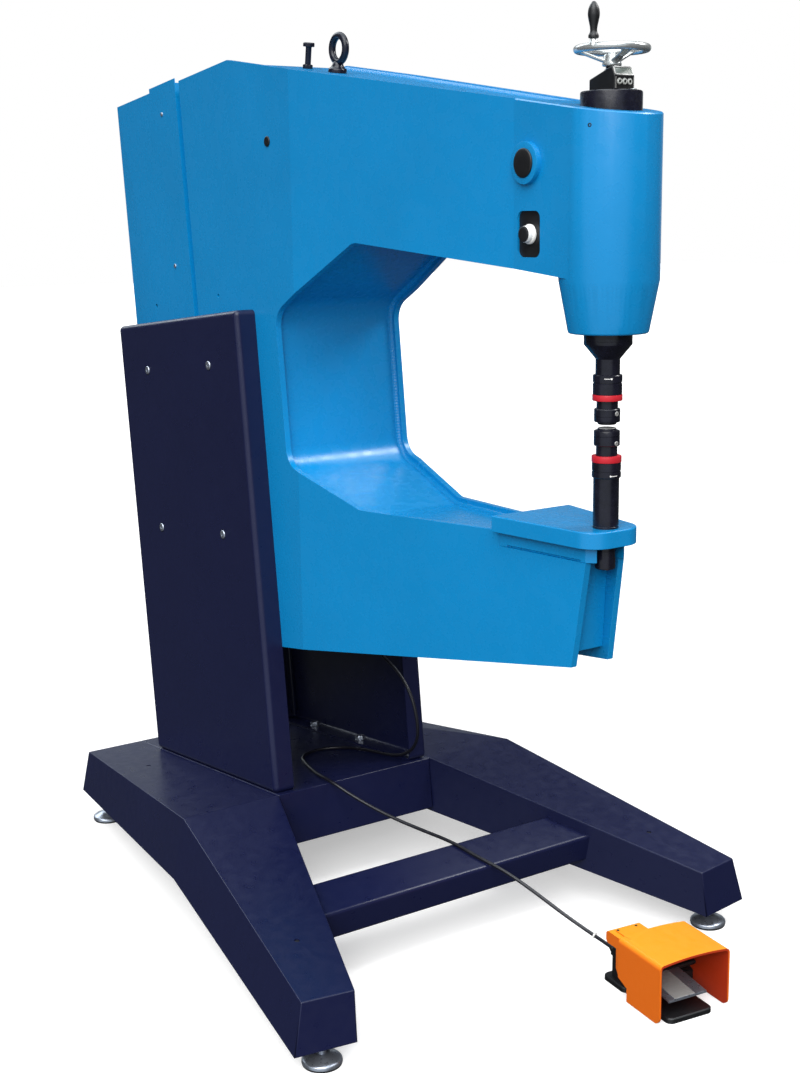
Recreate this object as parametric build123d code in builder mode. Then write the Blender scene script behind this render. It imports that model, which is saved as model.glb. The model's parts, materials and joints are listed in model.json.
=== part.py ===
"""Sheet metal forming machine: C-frame former with adjustable ram, table, stand and foot switch."""

import os
from math import acos, asin, cos, degrees, hypot, radians, sin, tan

from build123d import *

os.makedirs("parts", exist_ok=True)

# All lengths are millimetres and all angles degrees.
# X runs forward to the tool, Y to the machine's left, Z up.

# Fits
run_fit = 0.05
seat_gap = 0.3

# C-frame: the column leans back, its own frame starts at the throat wall
throat_depth = 800.0
throat_mid_height = 1066.0
column_lean = 6.1
plate = 12.0
frame_half_width = 146.0
bend_ahead = 60.0
arm_half_width = 78.5
nose_half_width = 42.0
column_back = 332.0
column_top = 656.0
apex_back = 112.0
throat_half_height = 148.0
throat_upper_corner = (272.0, 258.0)
throat_lower_corner = (218.0, -236.0)
throat_wall_radius = 45.0
throat_lip_radius = 35.0
lower_arm_root = (-103.0, -530.0)
web_inset = 6.0
liner_inset = 14.0
bottom_web_back = 130.0
web = 12.0
seam_back = 140.0
seam_rise = 15.5
nose_back = 29.0
nose_depth = 182.0
spare_hole_radius = 4.0
spare_hole_height = 200.0
plate_spare_hole_back = 234.0
plug_ahead = 155.6
plug_drop = 140.7
plug_radius = 10.0
plug_proud = 3.0
plug_shank_radius = 6.0

# Rear cover
cover_back = 656.0
cover_front = 352.0
cover_bottom = 560.0
cover_sheet = 2.0
cover_lip_back = 478.0
cover_lip_rise = 9.0
cover_spare_hole_back = 537.0
cover_corner = 5.0

# Mounting rails
rail = 12.0
rail_back = 600.0
rail_front = 260.0
rail_bottom = 340.0
rail_top = 620.0
cover_screw_back = 424.0
cover_screw_heights = (602.0, 278.0, -46.0)
standoff_radius = 13.0

# Cheeks
cheek_back = 657.0
cheek_front = 82.0
cheek_top = 162.0
cheek_depth = 45.0
cheek_sheet = 4.0
cheek_corner = 11.0
cheek_screw_backs = (519.0, 219.0)
cheek_screw_heights = (57.0, -297.0)
cheek_screw_radius = 6.0
cheek_screw_head_radius = 10.5
cheek_screw_head = 4.0
screw_clearance = 0.3
spacer_radius = 12.0

# Base bolts
base_bolt_backs = (526.0, 320.0, 113.0)
base_bolt_inset = 22.0
base_bolt_radius = 6.0
base_bolt_head_radius = 11.0
base_bolt_head = 8.0
base_washer_radius = 12.0
base_washer = 2.5

# Stand
stand_height = 238.71
leg_wall = 5.0
leg_crease_back = 71.0
leg_rear_back = 755.0
leg_slant = 12.5
leg_rear_half_width = 325.0
leg_crease_half_width = 407.0
leg_front_half_width = 501.0
leg_inner_half_width = 190.0
leg_front_inner_half_width = 402.0
leg_front_back = 157.0
leg_front_height = 131.0
leg_front_fall = 89.0
leg_front_lean = 13.0
leg_crease_bottom_height = 110.0
leg_rear_bottom_height = 68.0
leg_front_skew = 12.0
leg_hole_radius = 5.0
leg_hole_front_inset = 167.0
leg_hole_front_side = 60.0
leg_hole_rear_inset = 238.3
leg_hole_rear_side = 46.0
member_wall = 5.0
member_height = 112.0
tube_inset = 295.0
tube_drop = 50.3
tube_width = 103.0
tube_height = 58.0
tube_wall = 4.0
tube_corner = 7.0
foot_front_inset = 30.0
foot_rear_inset = 47.3
foot_rear_side = 22.0
foot_front_seat = 54.0
foot_rear_seat = 82.0
foot_pad_radius = 35.0
foot_pad_rim = 8.0
foot_pad_round = 6.0
foot_pad_neck_radius = 14.0
foot_pad_height = 20.0
foot_stud_radius = 8.0
foot_nut_radius = 14.0
foot_nut = 10.0
foot_boss_radius = 22.0

# Lifting eye and stop pin on the top web
eye_ahead = 182.1
eye_ring_radius = 24.5
eye_rod_radius = 7.0
eye_collar_radius = 18.0
eye_collar = 9.0
eye_centre = 45.0
tee_ahead = 69.1
tee_stem_radius = 6.0
tee_height = 50.0
tee_head_radius = 11.5
tee_head = 8.0
tee_nut_radius = 10.0
tee_nut = 8.0

# Head
head_radius = 80.0
flank_half_width = 79.6
head_rise = 491.0
head_length = 346.0
head_taper_length = 84.5
head_foot_radius = 63.8
head_foot_round = 4.0
head_edge = 2.0
shaft_tunnel_radius = 30.0
boss_ahead = 34.0
boss_drop = 80.0
boss_radius = 33.0
boss_proud = 9.0
boss_taper = 8.0
cap_radius = 23.0
cap_proud = 4.0
panel_ahead = 36.5
panel_drop = 190.5
panel_width = 57.0
panel_height = 73.0
panel_corner = 12.0
panel_depth = 6.0
panel_plate = 2.0
knob_radius = 16.0
knob_rise = 16.0
knob_skirt = 5.0
knob_grip_radius = 12.5
knob_shaft_radius = 4.0
knob_shaft = 14.0

# Ram, slide and guide
bush_radius = 48.0
bush_length = 89.0
ram_radius = 38.7
ram_cone = 23.0
ram_neck_radius = 19.6
ram_neck = 25.5
ram_above_bush = 20.0
stem_radius = 14.0
stem_length = 83.0
die_travel = 12.0
bore_room = 10.0
slide_radius = 45.0
slide_room = 13.0
slide_length = 170.0
cavity_room = 10.0
head_roof = 10.0
stroke = 4.0

# Tools and holders
collar_radius = 23.6
collar_length = 32.0
collar_grip = 18.0
collar_edge = 1.5
collar_groove = 2.0
collar_groove_depth = 1.2
ring_height = 9.7
ring_radius = 24.2
tool_neck_radius = 17.2
tool_neck = 12.8
tool_radius = 21.0
tool_length = 26.0
tool_gap = 4.8
tool_insert_radius = 15.0
tool_insert = 4.0
tool_edge = 2.0
tool_groove = 1.2
tool_groove_depth = 0.8
tool_groove_back = 13.0
shank_radius = 10.0
shank_length = 30.0
collar_travel = 4.0
lower_tool_length = 29.2
lower_neck = 16.2
lower_ring_height = 10.6
lower_collar_length = 25.2
lower_collar_grip = 14.0
post_rise = 83.0
post_radius = 21.0
post_stub_radius = 16.8
post_stub = 13.5
post_tip = 1.5

# Table
table_drop = 170.0
table_plate = 28.0
table_rear = 194.0
table_rear_half_width = 86.0
table_front = 34.0
table_front_half_width = 55.0
table_front_corner = 42.0
table_edge = 1.5
carrier_plate = 27.0
carrier_front = 13.0
carrier_corner = 13.0
carrier_slot_half_width = 28.5
carrier_slot_back = 32.0
weld_groove = 3.5
weld_groove_start = 17.0
weld_groove_end = 12.0
front_web_lean = 12.0
front_web_foot = 20.0
front_web_plate = 8.0

# Top collar, indicator, handwheel
top_collar_radius = 48.3
top_collar_proud = 24.5
top_collar_edge = 2.0
spindle_radius = 8.0
spindle_reach = 40.0
spindle_hole_radius = 12.0
spindle_room = 0.6
indicator_length = 59.0
indicator_width = 41.0
indicator_rear_rise = 18.5
indicator_ledge_rise = 21.0
indicator_rise = 35.5
indicator_slope_depth = 7.0
indicator_corner = 3.0
window_width = 34.0
window_height = 12.0
window_glass = 2.0
window_proud = 0.6
button_radius = 4.2
button_spacing = 10.5
button_rise = 12.5
button_travel = 1.0
button_proud = 1.8
button_length = 3.5
hub_gap = 1.5
hub_radius = 15.0
hub_top_radius = 12.0
hub_collar = 4.0
hub_height = 17.5
rim_rise = 8.0
rim_radius = 53.6
rim_section = 6.0
rim_sides = 12
spoke_root_half_width = 9.0
spoke_waist_half_width = 5.5
spoke_waist_share = 0.55
spoke_thickness = 5.0
spoke_count = 3
spoke_offset = 0.5
handle_angle = -73.0
ferrule_rise = 12.0
handle_length = 53.0
handle_radius = 9.0
handle_neck_radius = 5.3
handle_collar_radius = 8.0
handle_collar = 5.0
handle_belly_rise = 32.0
pin_radius = 3.0
ferrule_radius = 5.5
pin_depth = 14.0

# Drive
shaft_rise = 95.0
shaft_radius = 17.5
shaft_overhang = 10.0
shaft_clearance = 1.0
eccentric = 2.0
eccentric_radius = 16.0
eccentric_front = 30.0
window_room = 0.7
bearing_radius = 40.0
bearing_width = 24.0
drive_plate_behind = 400.0
drive_plate_margin = 120.0
end_plate_behind = 25.0
end_plate = 20.0
flywheel_radius = 110.0
pulley_behind = 100.0
pulley_width = 38.0
motor_pulley_radius = 45.0
belt_centres = 310.0
motor_radius = 85.0
motor_length = 258.0
motor_edge = 6.0
motor_shaft_radius = 12.0
motor_shaft_depth = 60.0
motor_shaft_hole_radius = 16.0
belt = 5.0
belt_width = 30.0

# Foot switch, its own frame starts at the middle of the hood's front foot
pedal_x = 64.0
pedal_y = 167.0
pedal_turn = -6.8
hood_half_width = 76.5
hood_height = 118.0
hood_rise = 5.0
hood_length = 125.0
hood_foot_length = 98.0
hood_wall = 4.0
hood_clearance = 2.0
hood_front_round = 14.0
hood_round = 10.0
body_near = -75.0
body_far = -5.0
body_back = 166.0
body_round = 14.0
body_core_back = 134.0
body_foot = 38.0
hood_foot_height = 28.0
body_cap = 23.0
lid_inset = 12.0
lid_length = 46.0
lid_rise = 2.0
base_near = -57.0
base_far = 40.0
base_back = 170.0
base_front = 4.0
base_thickness = 10.0
base_round = 12.0
base_edge = 2.0
toe_back = 197.0
toe_half_width = 16.0
toe_middle = -45.0
toe_hole_radius = 4.0
treadle_near = -50.0
treadle_far = 33.0
treadle_back = 95.0
treadle_front = 8.0
treadle_z = 46.0
treadle_plate = 3.0
treadle_lip = 2.5
treadle_slope = 6.0
tread_near = 13.0
tread_far = 25.0
tread_rise = 1.0
tread_inset = 5.0
pedal_pin_radius = 4.0
gland_z = 56.0
gland_middle = -40.0
gland_radius = 9.0
gland_length = 20.0
gland_nut = 8.0
gland_nut_radius = 12.0
gland_wall = 12.0

# Foot cable: points on its way to the gland, each x from the tool axis, y and z
cable_radius = 3.5
cable_room = 0.2
cable_hole_behind = 90.0
cable_hole_left = 100.0
cable_lead = 30.0
bend_share = 0.45
cable_points = [
    (-872.0, 107.0, 478.0),
    (-838.0, 114.0, 460.0),
    (-790.0, 121.0, 434.0),
    (-752.0, 125.0, 394.0),
    (-737.0, 129.0, 340.0),
    (-746.0, 135.0, 292.0),
    (-786.0, 139.0, 252.0),
    (-846.0, 138.0, 228.5),
    (-930.0, 130.0, 219.5),
    (-1004.0, 106.0, 211.5),
    (-1034.0, 50.0, 208.3),
    (-1004.0, -8.0, 211.5),
    (-930.0, -34.0, 219.4),
    (-846.0, -58.0, 228.5),
    (-776.0, -70.0, 239.0),
    (-724.0, -42.0, 211.0),
    (-650.0, -4.0, 184.0),
    (-572.0, 26.0, 172.0),
    (-496.0, 44.0, 168.8),
    (-424.0, 56.0, 158.0),
    (-366.0, 74.0, 147.0),
    (-308.0, 98.0, 121.0),
    (-252.0, 121.0, 92.0),
    (-206.0, 143.0, 68.0),
]
gland_lead = 26.0

# Derived frame
lean_cos = cos(radians(column_lean))
lean_sin = sin(radians(column_lean))


def from_column(forward, up):
    """A point of the leaning column as x from the tool axis and z."""
    x = -throat_depth + lean_cos * forward - lean_sin * up
    z = throat_mid_height + lean_sin * forward + lean_cos * up
    return (x, z)


# Levels of the table and the tools, upwards from the table
table_top = throat_mid_height - table_drop
lower_collar_bottom = table_top + post_rise
lower_ring_bottom = lower_collar_bottom + lower_collar_length
lower_ring_top = lower_ring_bottom + lower_ring_height
lower_tool_bottom = lower_ring_top + lower_neck
lower_tool_face = lower_tool_bottom + lower_tool_length
tool_face = lower_tool_face + tool_gap
tool_neck_bottom = tool_face + tool_length
ring_bottom = tool_neck_bottom + tool_neck
ring_top = ring_bottom + ring_height
collar_top = ring_top + collar_length
ram_cone_foot = collar_top + ram_neck
ram_shoulder = ram_cone_foot + ram_cone

# Levels of the head and what it holds
head_top = throat_mid_height + head_rise
head_foot = head_top - head_length
head_shoulder = head_foot + head_taper_length
seam_underside = head_shoulder + seam_rise
bush_top = head_foot + bush_length
ram_top = bush_top + ram_above_bush
slide_bottom = ram_top + die_travel + slide_room
slide_top = slide_bottom + slide_length
stem_bottom = slide_bottom - stem_length
ram_bore_bottom = stem_bottom - die_travel - bore_room
cavity_top = slide_top + cavity_room
top_collar_seat = cavity_top + head_roof
spindle_bottom = slide_top - spindle_reach
boss_x = -seam_back + boss_ahead
boss_z = head_top - boss_drop
panel_x = -seam_back + panel_ahead
panel_z = head_top - panel_drop

# Levels of the indicator and the handwheel
top_collar_top = head_top + top_collar_proud
indicator_rear_top = top_collar_top + indicator_rear_rise
indicator_ledge = top_collar_top + indicator_ledge_rise
indicator_top = top_collar_top + indicator_rise
button_z = top_collar_top + button_rise
hub_bottom = indicator_top + hub_gap
hub_top = hub_bottom + hub_height
rim_z = hub_top + rim_rise
handle_bottom = rim_z + ferrule_rise
handle_top = handle_bottom + handle_length
handle_belly = handle_bottom + handle_belly_rise
pin_top = handle_top - pin_depth

# Places of the drive
shaft_z = slide_bottom + shaft_rise
motor_z = shaft_z - belt_centres
drive_plate_rear = -throat_depth - drive_plate_behind
drive_plate_bottom = motor_z - drive_plate_margin
drive_plate_top = shaft_z + drive_plate_margin
pulley_rear = drive_plate_rear - pulley_behind
shaft_rear = pulley_rear - shaft_overhang
shaft_front = -slide_radius - shaft_clearance
end_plate_rear = -seam_back - end_plate_behind

# Length of the cheeks, from the throat's middle down to the stand
cheek_bottom = (throat_mid_height - stand_height) / lean_cos

rear_reach = -from_column(-cover_back, column_top)[0]
tool_x = (rear_reach - head_radius) / 2
side = Plane(origin=(tool_x, 0, 0), x_dir=(1, 0, 0), z_dir=(0, -1, 0))
column = Plane(
    origin=(tool_x - throat_depth, 0, throat_mid_height), x_dir=(lean_cos, 0, lean_sin), z_dir=(0, -1, 0)
)
tool_axis = Axis((tool_x, 0, 0), (0, 0, 1))
shaft_axis = Axis((tool_x, 0, shaft_z), (1, 0, 0))
motor_axis = Axis((tool_x, 0, motor_z), (1, 0, 0))
flank = side.offset(flank_half_width)
pedal_plane = Plane(
    origin=(tool_x + pedal_x, pedal_y, 0),
    x_dir=(cos(radians(pedal_turn)), sin(radians(pedal_turn)), 0),
    z_dir=(0, 0, 1),
)
pedal_side = Plane(origin=pedal_plane.origin, x_dir=pedal_plane.x_dir, z_dir=-pedal_plane.y_dir)
pedal_front = Plane(origin=pedal_plane.origin, x_dir=pedal_plane.y_dir, z_dir=pedal_plane.x_dir)


def level(height):
    """A level plane that starts on the tool axis."""
    return Plane(origin=(tool_x, 0, height))


def across(x):
    """An upright plane across the machine at a distance from the tool axis, facing forward."""
    return Plane(origin=(tool_x + x, 0, 0), x_dir=(0, 1, 0), z_dir=(1, 0, 0))


def outline(plane, points):
    """A flat face with straight sides."""
    with BuildSketch(plane, mode=Mode.PRIVATE) as face:
        with BuildLine():
            Polyline(*points, close=True)
        make_face()
    return face.sketch


def disc(plane, radius, hole=0.0, centre=(0.0, 0.0)):
    """A round face, with a round hole where one is asked for."""
    with BuildSketch(plane, mode=Mode.PRIVATE) as face:
        with Locations(centre):
            Circle(radius)
            if hole > 0:
                Circle(hole, mode=Mode.SUBTRACT)
    return face.sketch


def hexagon(plane, radius, hole=0.0, centre=(0.0, 0.0)):
    """A six-sided face, with a round hole where one is asked for."""
    with BuildSketch(plane, mode=Mode.PRIVATE) as face:
        with Locations(centre):
            RegularPolygon(radius, side_count=6)
            if hole > 0:
                Circle(hole, mode=Mode.SUBTRACT)
    return face.sketch


def right_of(points, distance):
    """The chain of points moved to its right by a distance, with mitred corners."""
    lines = []
    for start, end in zip(points, points[1:]):
        run = (end[0] - start[0], end[1] - start[1])
        length = hypot(*run)
        normal = (run[1] / length, -run[0] / length)
        lines.append((normal, normal[0] * start[0] + normal[1] * start[1] + distance))
    first, last = lines[0][0], lines[-1][0]
    moved = [(points[0][0] + first[0] * distance, points[0][1] + first[1] * distance)]
    for (n1, d1), (n2, d2) in zip(lines, lines[1:]):
        det = n1[0] * n2[1] - n1[1] * n2[0]
        moved.append(((d1 * n2[1] - d2 * n1[1]) / det, (n1[0] * d2 - n2[0] * d1) / det))
    moved.append((points[-1][0] + last[0] * distance, points[-1][1] + last[1] * distance))
    return moved


def height_at(first, second, x):
    """Height at x of the straight line through two side points."""
    return first[1] + (second[1] - first[1]) * (x - first[0]) / (second[0] - first[0])


def mirrored(shape):
    """The same piece on the other side of the machine."""
    return mirror(shape, about=Plane.XZ)


# Corners of the C-frame's side view
column_rear_top = from_column(-column_back, column_top)
apex = from_column(-apex_back, column_top)
eye_back = -apex[0] - eye_ahead
tee_back = -apex[0] - tee_ahead
plug_back = -apex[0] - plug_ahead
plug_height = height_at(apex, (0, head_top), -plug_back) - plug_drop
seam_top = (-seam_back, height_at(apex, (0, head_top), -seam_back))
seam_bottom = (-seam_back, seam_underside)
corner_a = from_column(*throat_upper_corner)
corner_b = from_column(0, throat_half_height)
corner_c = from_column(0, -throat_half_height)
corner_d = from_column(*throat_lower_corner)
table_bottom = table_top - table_plate
carrier_bottom = table_bottom - carrier_plate
post_bottom = carrier_bottom - post_stub
nose_bottom = (-nose_back, carrier_bottom - nose_depth)
table_step = (-table_rear, table_bottom)
arm_root = from_column(*lower_arm_root)
column_rear_bottom = from_column(-column_back, lower_arm_root[1])
frame_points = [
    column_rear_top,
    apex,
    seam_top,
    seam_bottom,
    corner_a,
    corner_b,
    corner_c,
    corner_d,
    table_step,
    (-table_rear, carrier_bottom),
    (0, carrier_bottom),
    nose_bottom,
    arm_root,
    column_rear_bottom,
]
throat_chain = [seam_bottom, corner_a, corner_b, corner_c, corner_d, table_step]
throat_radii = [throat_lip_radius, throat_wall_radius, throat_wall_radius, throat_lip_radius]

# Plan of one side plate: parallel at the column, bent in towards the tool on each arm
bend_x = -throat_depth + bend_ahead
rear_x = -rear_reach
upper_narrowing = frame_half_width - arm_half_width
lower_narrowing = frame_half_width - nose_half_width
upper_turn = asin(upper_narrowing / hypot(bend_x + seam_back, upper_narrowing))
lower_turn = asin(lower_narrowing / hypot(bend_x, lower_narrowing))


def plan_inner(turn, front_x):
    """Inner face of one plate in plan, from the rear to the front."""
    inner = frame_half_width - plate
    bend_inner_x = bend_x - plate * tan(turn / 2)
    return [(rear_x, inner), (bend_inner_x, inner), (front_x, inner - tan(turn) * (front_x - bend_inner_x))]


def plan_outer(turn, front_x):
    """Outer face of one plate in plan, from the rear to the front."""
    front_half = frame_half_width - tan(turn) * (front_x - bend_x)
    return [(rear_x, frame_half_width), (bend_x, frame_half_width), (front_x, front_half)]


def near_side(points):
    """Plan points on the machine's right."""
    return [(x, -y) for x, y in points]


arm_reach = table_front
plate_height = column_top + cover_lip_rise + throat_depth
with BuildPart() as plate_space:
    for turn, front_x, rise in ((upper_turn, -seam_back, 1), (lower_turn, arm_reach, -1)):
        strip = near_side(plan_outer(turn, front_x) + plan_inner(turn, front_x)[::-1])
        extrude(outline(level(throat_mid_height), strip), amount=plate_height, dir=(0, 0, rise))

with BuildPart() as web_space:
    for turn, front_x, rise in ((upper_turn, -seam_back, 1), (lower_turn, arm_reach, -1)):
        room = plan_inner(turn, front_x) + near_side(plan_inner(turn, front_x))[::-1]
        extrude(outline(level(throat_mid_height), room), amount=plate_height, dir=(0, 0, rise))


def fastener_places(backs, heights):
    """Places on the column for fasteners, as distances forward and up from the throat wall."""
    return [(-back, height) for back in backs for height in heights]


cheek_places = fastener_places(cheek_screw_backs, cheek_screw_heights)
front_cheek_places = fastener_places(cheek_screw_backs[1:], cheek_screw_heights)
rear_cheek_places = fastener_places(cheek_screw_backs[:1], cheek_screw_heights)
cover_places = fastener_places([cover_screw_back], cover_screw_heights)

# The stand's top face, square to the column, with the cheek bolts of the right side
column_floor = Plane(
    origin=(tool_x + from_column(0, -cheek_bottom)[0], 0, from_column(0, -cheek_bottom)[1]),
    x_dir=column.x_dir,
    z_dir=column.y_dir,
)
base_bolt_places = [(-back, -frame_half_width - base_bolt_inset) for back in base_bolt_backs]

# Side plates
with BuildPart() as side_plate_right:
    with BuildSketch(side) as frame_outline:
        with BuildLine():
            Polyline(*frame_points, close=True)
        make_face()
        for corner, radius in zip(throat_chain[1:-1], throat_radii):
            fillet(frame_outline.vertices().sort_by_distance(Vector(*corner))[0], radius)
    extrude(amount=frame_half_width)
    add(plate_space.part, mode=Mode.INTERSECT)
    with BuildSketch(column):
        with Locations(*front_cheek_places):
            Circle(cheek_screw_radius + screw_clearance)
        with Locations((-plate_spare_hole_back, spare_hole_height)):
            Circle(spare_hole_radius)
    extrude(amount=frame_half_width, mode=Mode.SUBTRACT)
    with BuildSketch(side):
        with Locations((-plug_back, plug_height)):
            Circle(plug_shank_radius)
    extrude(amount=frame_half_width, mode=Mode.SUBTRACT)
side_plate_right.part.label = "side_plate_right"
export_step(side_plate_right.part, "parts/side_plate_right.step")

with BuildPart() as side_plate_left:
    add(mirrored(side_plate_right.part))
side_plate_left.part.label = "side_plate_left"
export_step(side_plate_left.part, "parts/side_plate_left.step")

# Throat liner, bent to follow the throat a little inside the plates' edges
with BuildPart() as throat_liner:
    with BuildSketch(side) as liner_outline:
        with BuildLine():
            liner_face = right_of(throat_chain, liner_inset)
            liner_back = right_of(throat_chain, liner_inset + web)
            Polyline(*liner_face, *liner_back[::-1], close=True)
        make_face()
        for depth in (liner_inset, liner_inset + web):
            for corner, radius in zip(right_of(throat_chain, depth)[1:-1], throat_radii):
                fillet(liner_outline.vertices().sort_by_distance(Vector(*corner))[0], radius + depth)
    extrude(amount=frame_half_width, both=True)
    add(web_space.part, mode=Mode.INTERSECT)
    with BuildSketch(side):
        with Locations((-table_rear + carrier_plate, table_bottom)):
            Rectangle(2 * carrier_plate, 2 * carrier_plate)
    extrude(amount=frame_half_width, both=True, mode=Mode.SUBTRACT)
throat_liner.part.label = "throat_liner"
export_step(throat_liner.part, "parts/throat_liner.step")


def web_band(chain):
    """Side outline of a web that follows a chain of the frame's corners."""
    return outline(side, right_of(chain, web_inset) + right_of(chain, web_inset + web)[::-1])


# Top web, with holes for the lifting eye and the stop pin
top_chain = [column_rear_top, apex, seam_top]
top_slope = degrees(asin((apex[1] - seam_top[1]) / hypot(apex[0] - seam_top[0], apex[1] - seam_top[1])))
top_normal = Vector(sin(radians(top_slope)), 0, cos(radians(top_slope)))
top_forward = Vector(cos(radians(top_slope)), 0, -sin(radians(top_slope)))


def on_top_web(back):
    """A plane on the upper face of the top web at a distance behind the tool axis."""
    web_top = right_of(top_chain, web_inset)
    height = height_at(web_top[1], web_top[2], -back)
    return Plane(origin=(tool_x - back, 0, height), x_dir=top_forward, z_dir=top_normal)


with BuildPart() as top_web:
    extrude(web_band(top_chain), amount=frame_half_width, both=True)
    add(web_space.part, mode=Mode.INTERSECT)
    for back in (eye_back, tee_back):
        stem_hole = disc(on_top_web(back), tee_stem_radius + screw_clearance)
        extrude(stem_hole, amount=-2 * web, mode=Mode.SUBTRACT)
top_web.part.label = "top_web"
export_step(top_web.part, "parts/top_web.step")

# Bottom web, from behind the nose, with the hole that lets the foot cable out
bottom_front = (-bottom_web_back, height_at(nose_bottom, arm_root, -bottom_web_back))
bottom_chain = [bottom_front, arm_root, column_rear_bottom]
bottom_top = right_of(bottom_chain, web_inset + web)
with BuildPart() as bottom_web:
    extrude(web_band(bottom_chain), amount=frame_half_width, both=True)
    add(web_space.part, mode=Mode.INTERSECT)
    cable_hole_x = -throat_depth - cable_hole_behind
    cable_hole_z = height_at(bottom_top[1], bottom_top[2], cable_hole_x)
    cable_hole = disc(
        level(cable_hole_z - 2 * web), cable_radius + cable_room, centre=(cable_hole_x, cable_hole_left)
    )
    extrude(cable_hole, amount=4 * web, mode=Mode.SUBTRACT)
bottom_web.part.label = "bottom_web"
export_step(bottom_web.part, "parts/bottom_web.step")

# Front web: a leaning plate behind the post, level with the end of the carrier's slot
with BuildPart() as front_web:
    web_foot_back = carrier_slot_back + front_web_lean
    web_foot = nose_bottom[1] + front_web_foot
    lean_points = [
        (-carrier_slot_back, carrier_bottom),
        (-web_foot_back, web_foot),
        (-web_foot_back - front_web_plate, web_foot),
        (-carrier_slot_back - front_web_plate, carrier_bottom),
    ]
    extrude(outline(side, lean_points), amount=frame_half_width, both=True)
    add(web_space.part, mode=Mode.INTERSECT)
front_web.part.label = "front_web"
export_step(front_web.part, "parts/front_web.step")

# Arm end plate, carries the front shaft bearing
liner_inner = right_of(throat_chain, liner_inset + web)
top_inner = right_of(top_chain, web_inset + web)
with BuildPart() as arm_end_plate:
    end_plate_front = end_plate_rear + end_plate
    end_points = [
        (end_plate_rear, height_at(liner_inner[0], liner_inner[1], end_plate_rear)),
        (end_plate_front, height_at(liner_inner[0], liner_inner[1], end_plate_front)),
        (end_plate_front, height_at(top_inner[1], top_inner[2], end_plate_front)),
        (end_plate_rear, height_at(top_inner[1], top_inner[2], end_plate_rear)),
    ]
    extrude(outline(side, end_points), amount=frame_half_width, both=True)
    add(web_space.part, mode=Mode.INTERSECT)
    bearing_seat = disc(across(end_plate_rear), bearing_radius, centre=(0, shaft_z))
    extrude(bearing_seat, amount=end_plate, mode=Mode.SUBTRACT)
arm_end_plate.part.label = "arm_end_plate"
export_step(arm_end_plate.part, "parts/arm_end_plate.step")

# Mounting rails inside the plates, with standoffs out to the rear cover
rail_outer = frame_half_width - plate
rail_inner = rail_outer - rail
with BuildPart() as mounting_rails:
    with BuildSketch(column.offset(rail_inner)):
        with Locations(((-rail_back - rail_front) / 2, (rail_top - rail_bottom) / 2)):
            Rectangle(rail_back - rail_front, rail_top + rail_bottom)
        with Locations(*front_cheek_places):
            Circle(cheek_screw_radius + screw_clearance, mode=Mode.SUBTRACT)
    extrude(amount=rail)
    with BuildSketch(column.offset(rail_outer)):
        with Locations(*rear_cheek_places, *cover_places):
            Circle(standoff_radius)
    extrude(amount=plate - cover_sheet)
    with BuildSketch(column.offset(rail_inner)):
        with Locations(*rear_cheek_places):
            Circle(cheek_screw_radius + screw_clearance)
    extrude(amount=rail + plate, mode=Mode.SUBTRACT)
    mirror(about=Plane.XZ)
mounting_rails.part.label = "mounting_rails"
export_step(mounting_rails.part, "parts/mounting_rails.step")

# Rear cover: folded sheet, open to the column and below, with returns that rest on the rails
with BuildPart() as rear_cover:
    with BuildSketch(column):
        with Locations((-(cover_back + cover_front) / 2, (column_top - cover_bottom) / 2)):
            Rectangle(cover_back - cover_front, column_top + cover_bottom)
    extrude(amount=frame_half_width, both=True)
    cover_ridges = rear_cover.edges().group_by(Axis((0, 0, 0), column.x_dir))[0]
    fillet(cover_ridges.filter_by(Axis((0, 0, 0), column.y_dir)), cover_corner)
    cover_open = rear_cover.faces().filter_by(Axis((0, 0, 0), column.x_dir)).sort_by(Axis.X)[-1:]
    cover_open += rear_cover.faces().filter_by(Axis((0, 0, 0), column.y_dir)).sort_by(Axis.Z)[:1]
    offset(amount=-cover_sheet, openings=cover_open)
    with BuildSketch(column.offset(frame_half_width - cover_sheet)):
        with Locations((-(cover_lip_back + cover_front) / 2, column_top)):
            Rectangle(cover_lip_back - cover_front, 2 * cover_lip_rise)
    lip = extrude(amount=cover_sheet)
    mirror(lip, about=Plane.XZ)
    with BuildSketch(column.offset(frame_half_width - plate)):
        with Locations((-cover_front - cover_sheet / 2, (column_top - cover_bottom) / 2)):
            Rectangle(cover_sheet, column_top + cover_bottom)
    cover_return = extrude(amount=plate)
    mirror(cover_return, about=Plane.XZ)
    with BuildSketch(column):
        with Locations(*rear_cheek_places):
            Circle(cheek_screw_radius + screw_clearance)
        with Locations((-cover_spare_hole_back, spare_hole_height)):
            Circle(spare_hole_radius)
    extrude(amount=frame_half_width, both=True, mode=Mode.SUBTRACT)
rear_cover.part.label = "rear_cover"
export_step(rear_cover.part, "parts/rear_cover.step")

# Plugs in the side plates
with BuildPart() as side_plugs:
    plug_side = side.offset(frame_half_width)
    extrude(disc(plug_side, plug_radius, centre=(-plug_back, plug_height)), amount=plug_proud)
    extrude(disc(plug_side, plug_shank_radius - run_fit, centre=(-plug_back, plug_height)), amount=-plate)
    fillet(side_plugs.edges().group_by(Axis.Y)[0], plug_proud / 2)
    mirror(about=Plane.XZ)
side_plugs.part.label = "side_plugs"
export_step(side_plugs.part, "parts/side_plugs.step")

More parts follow.
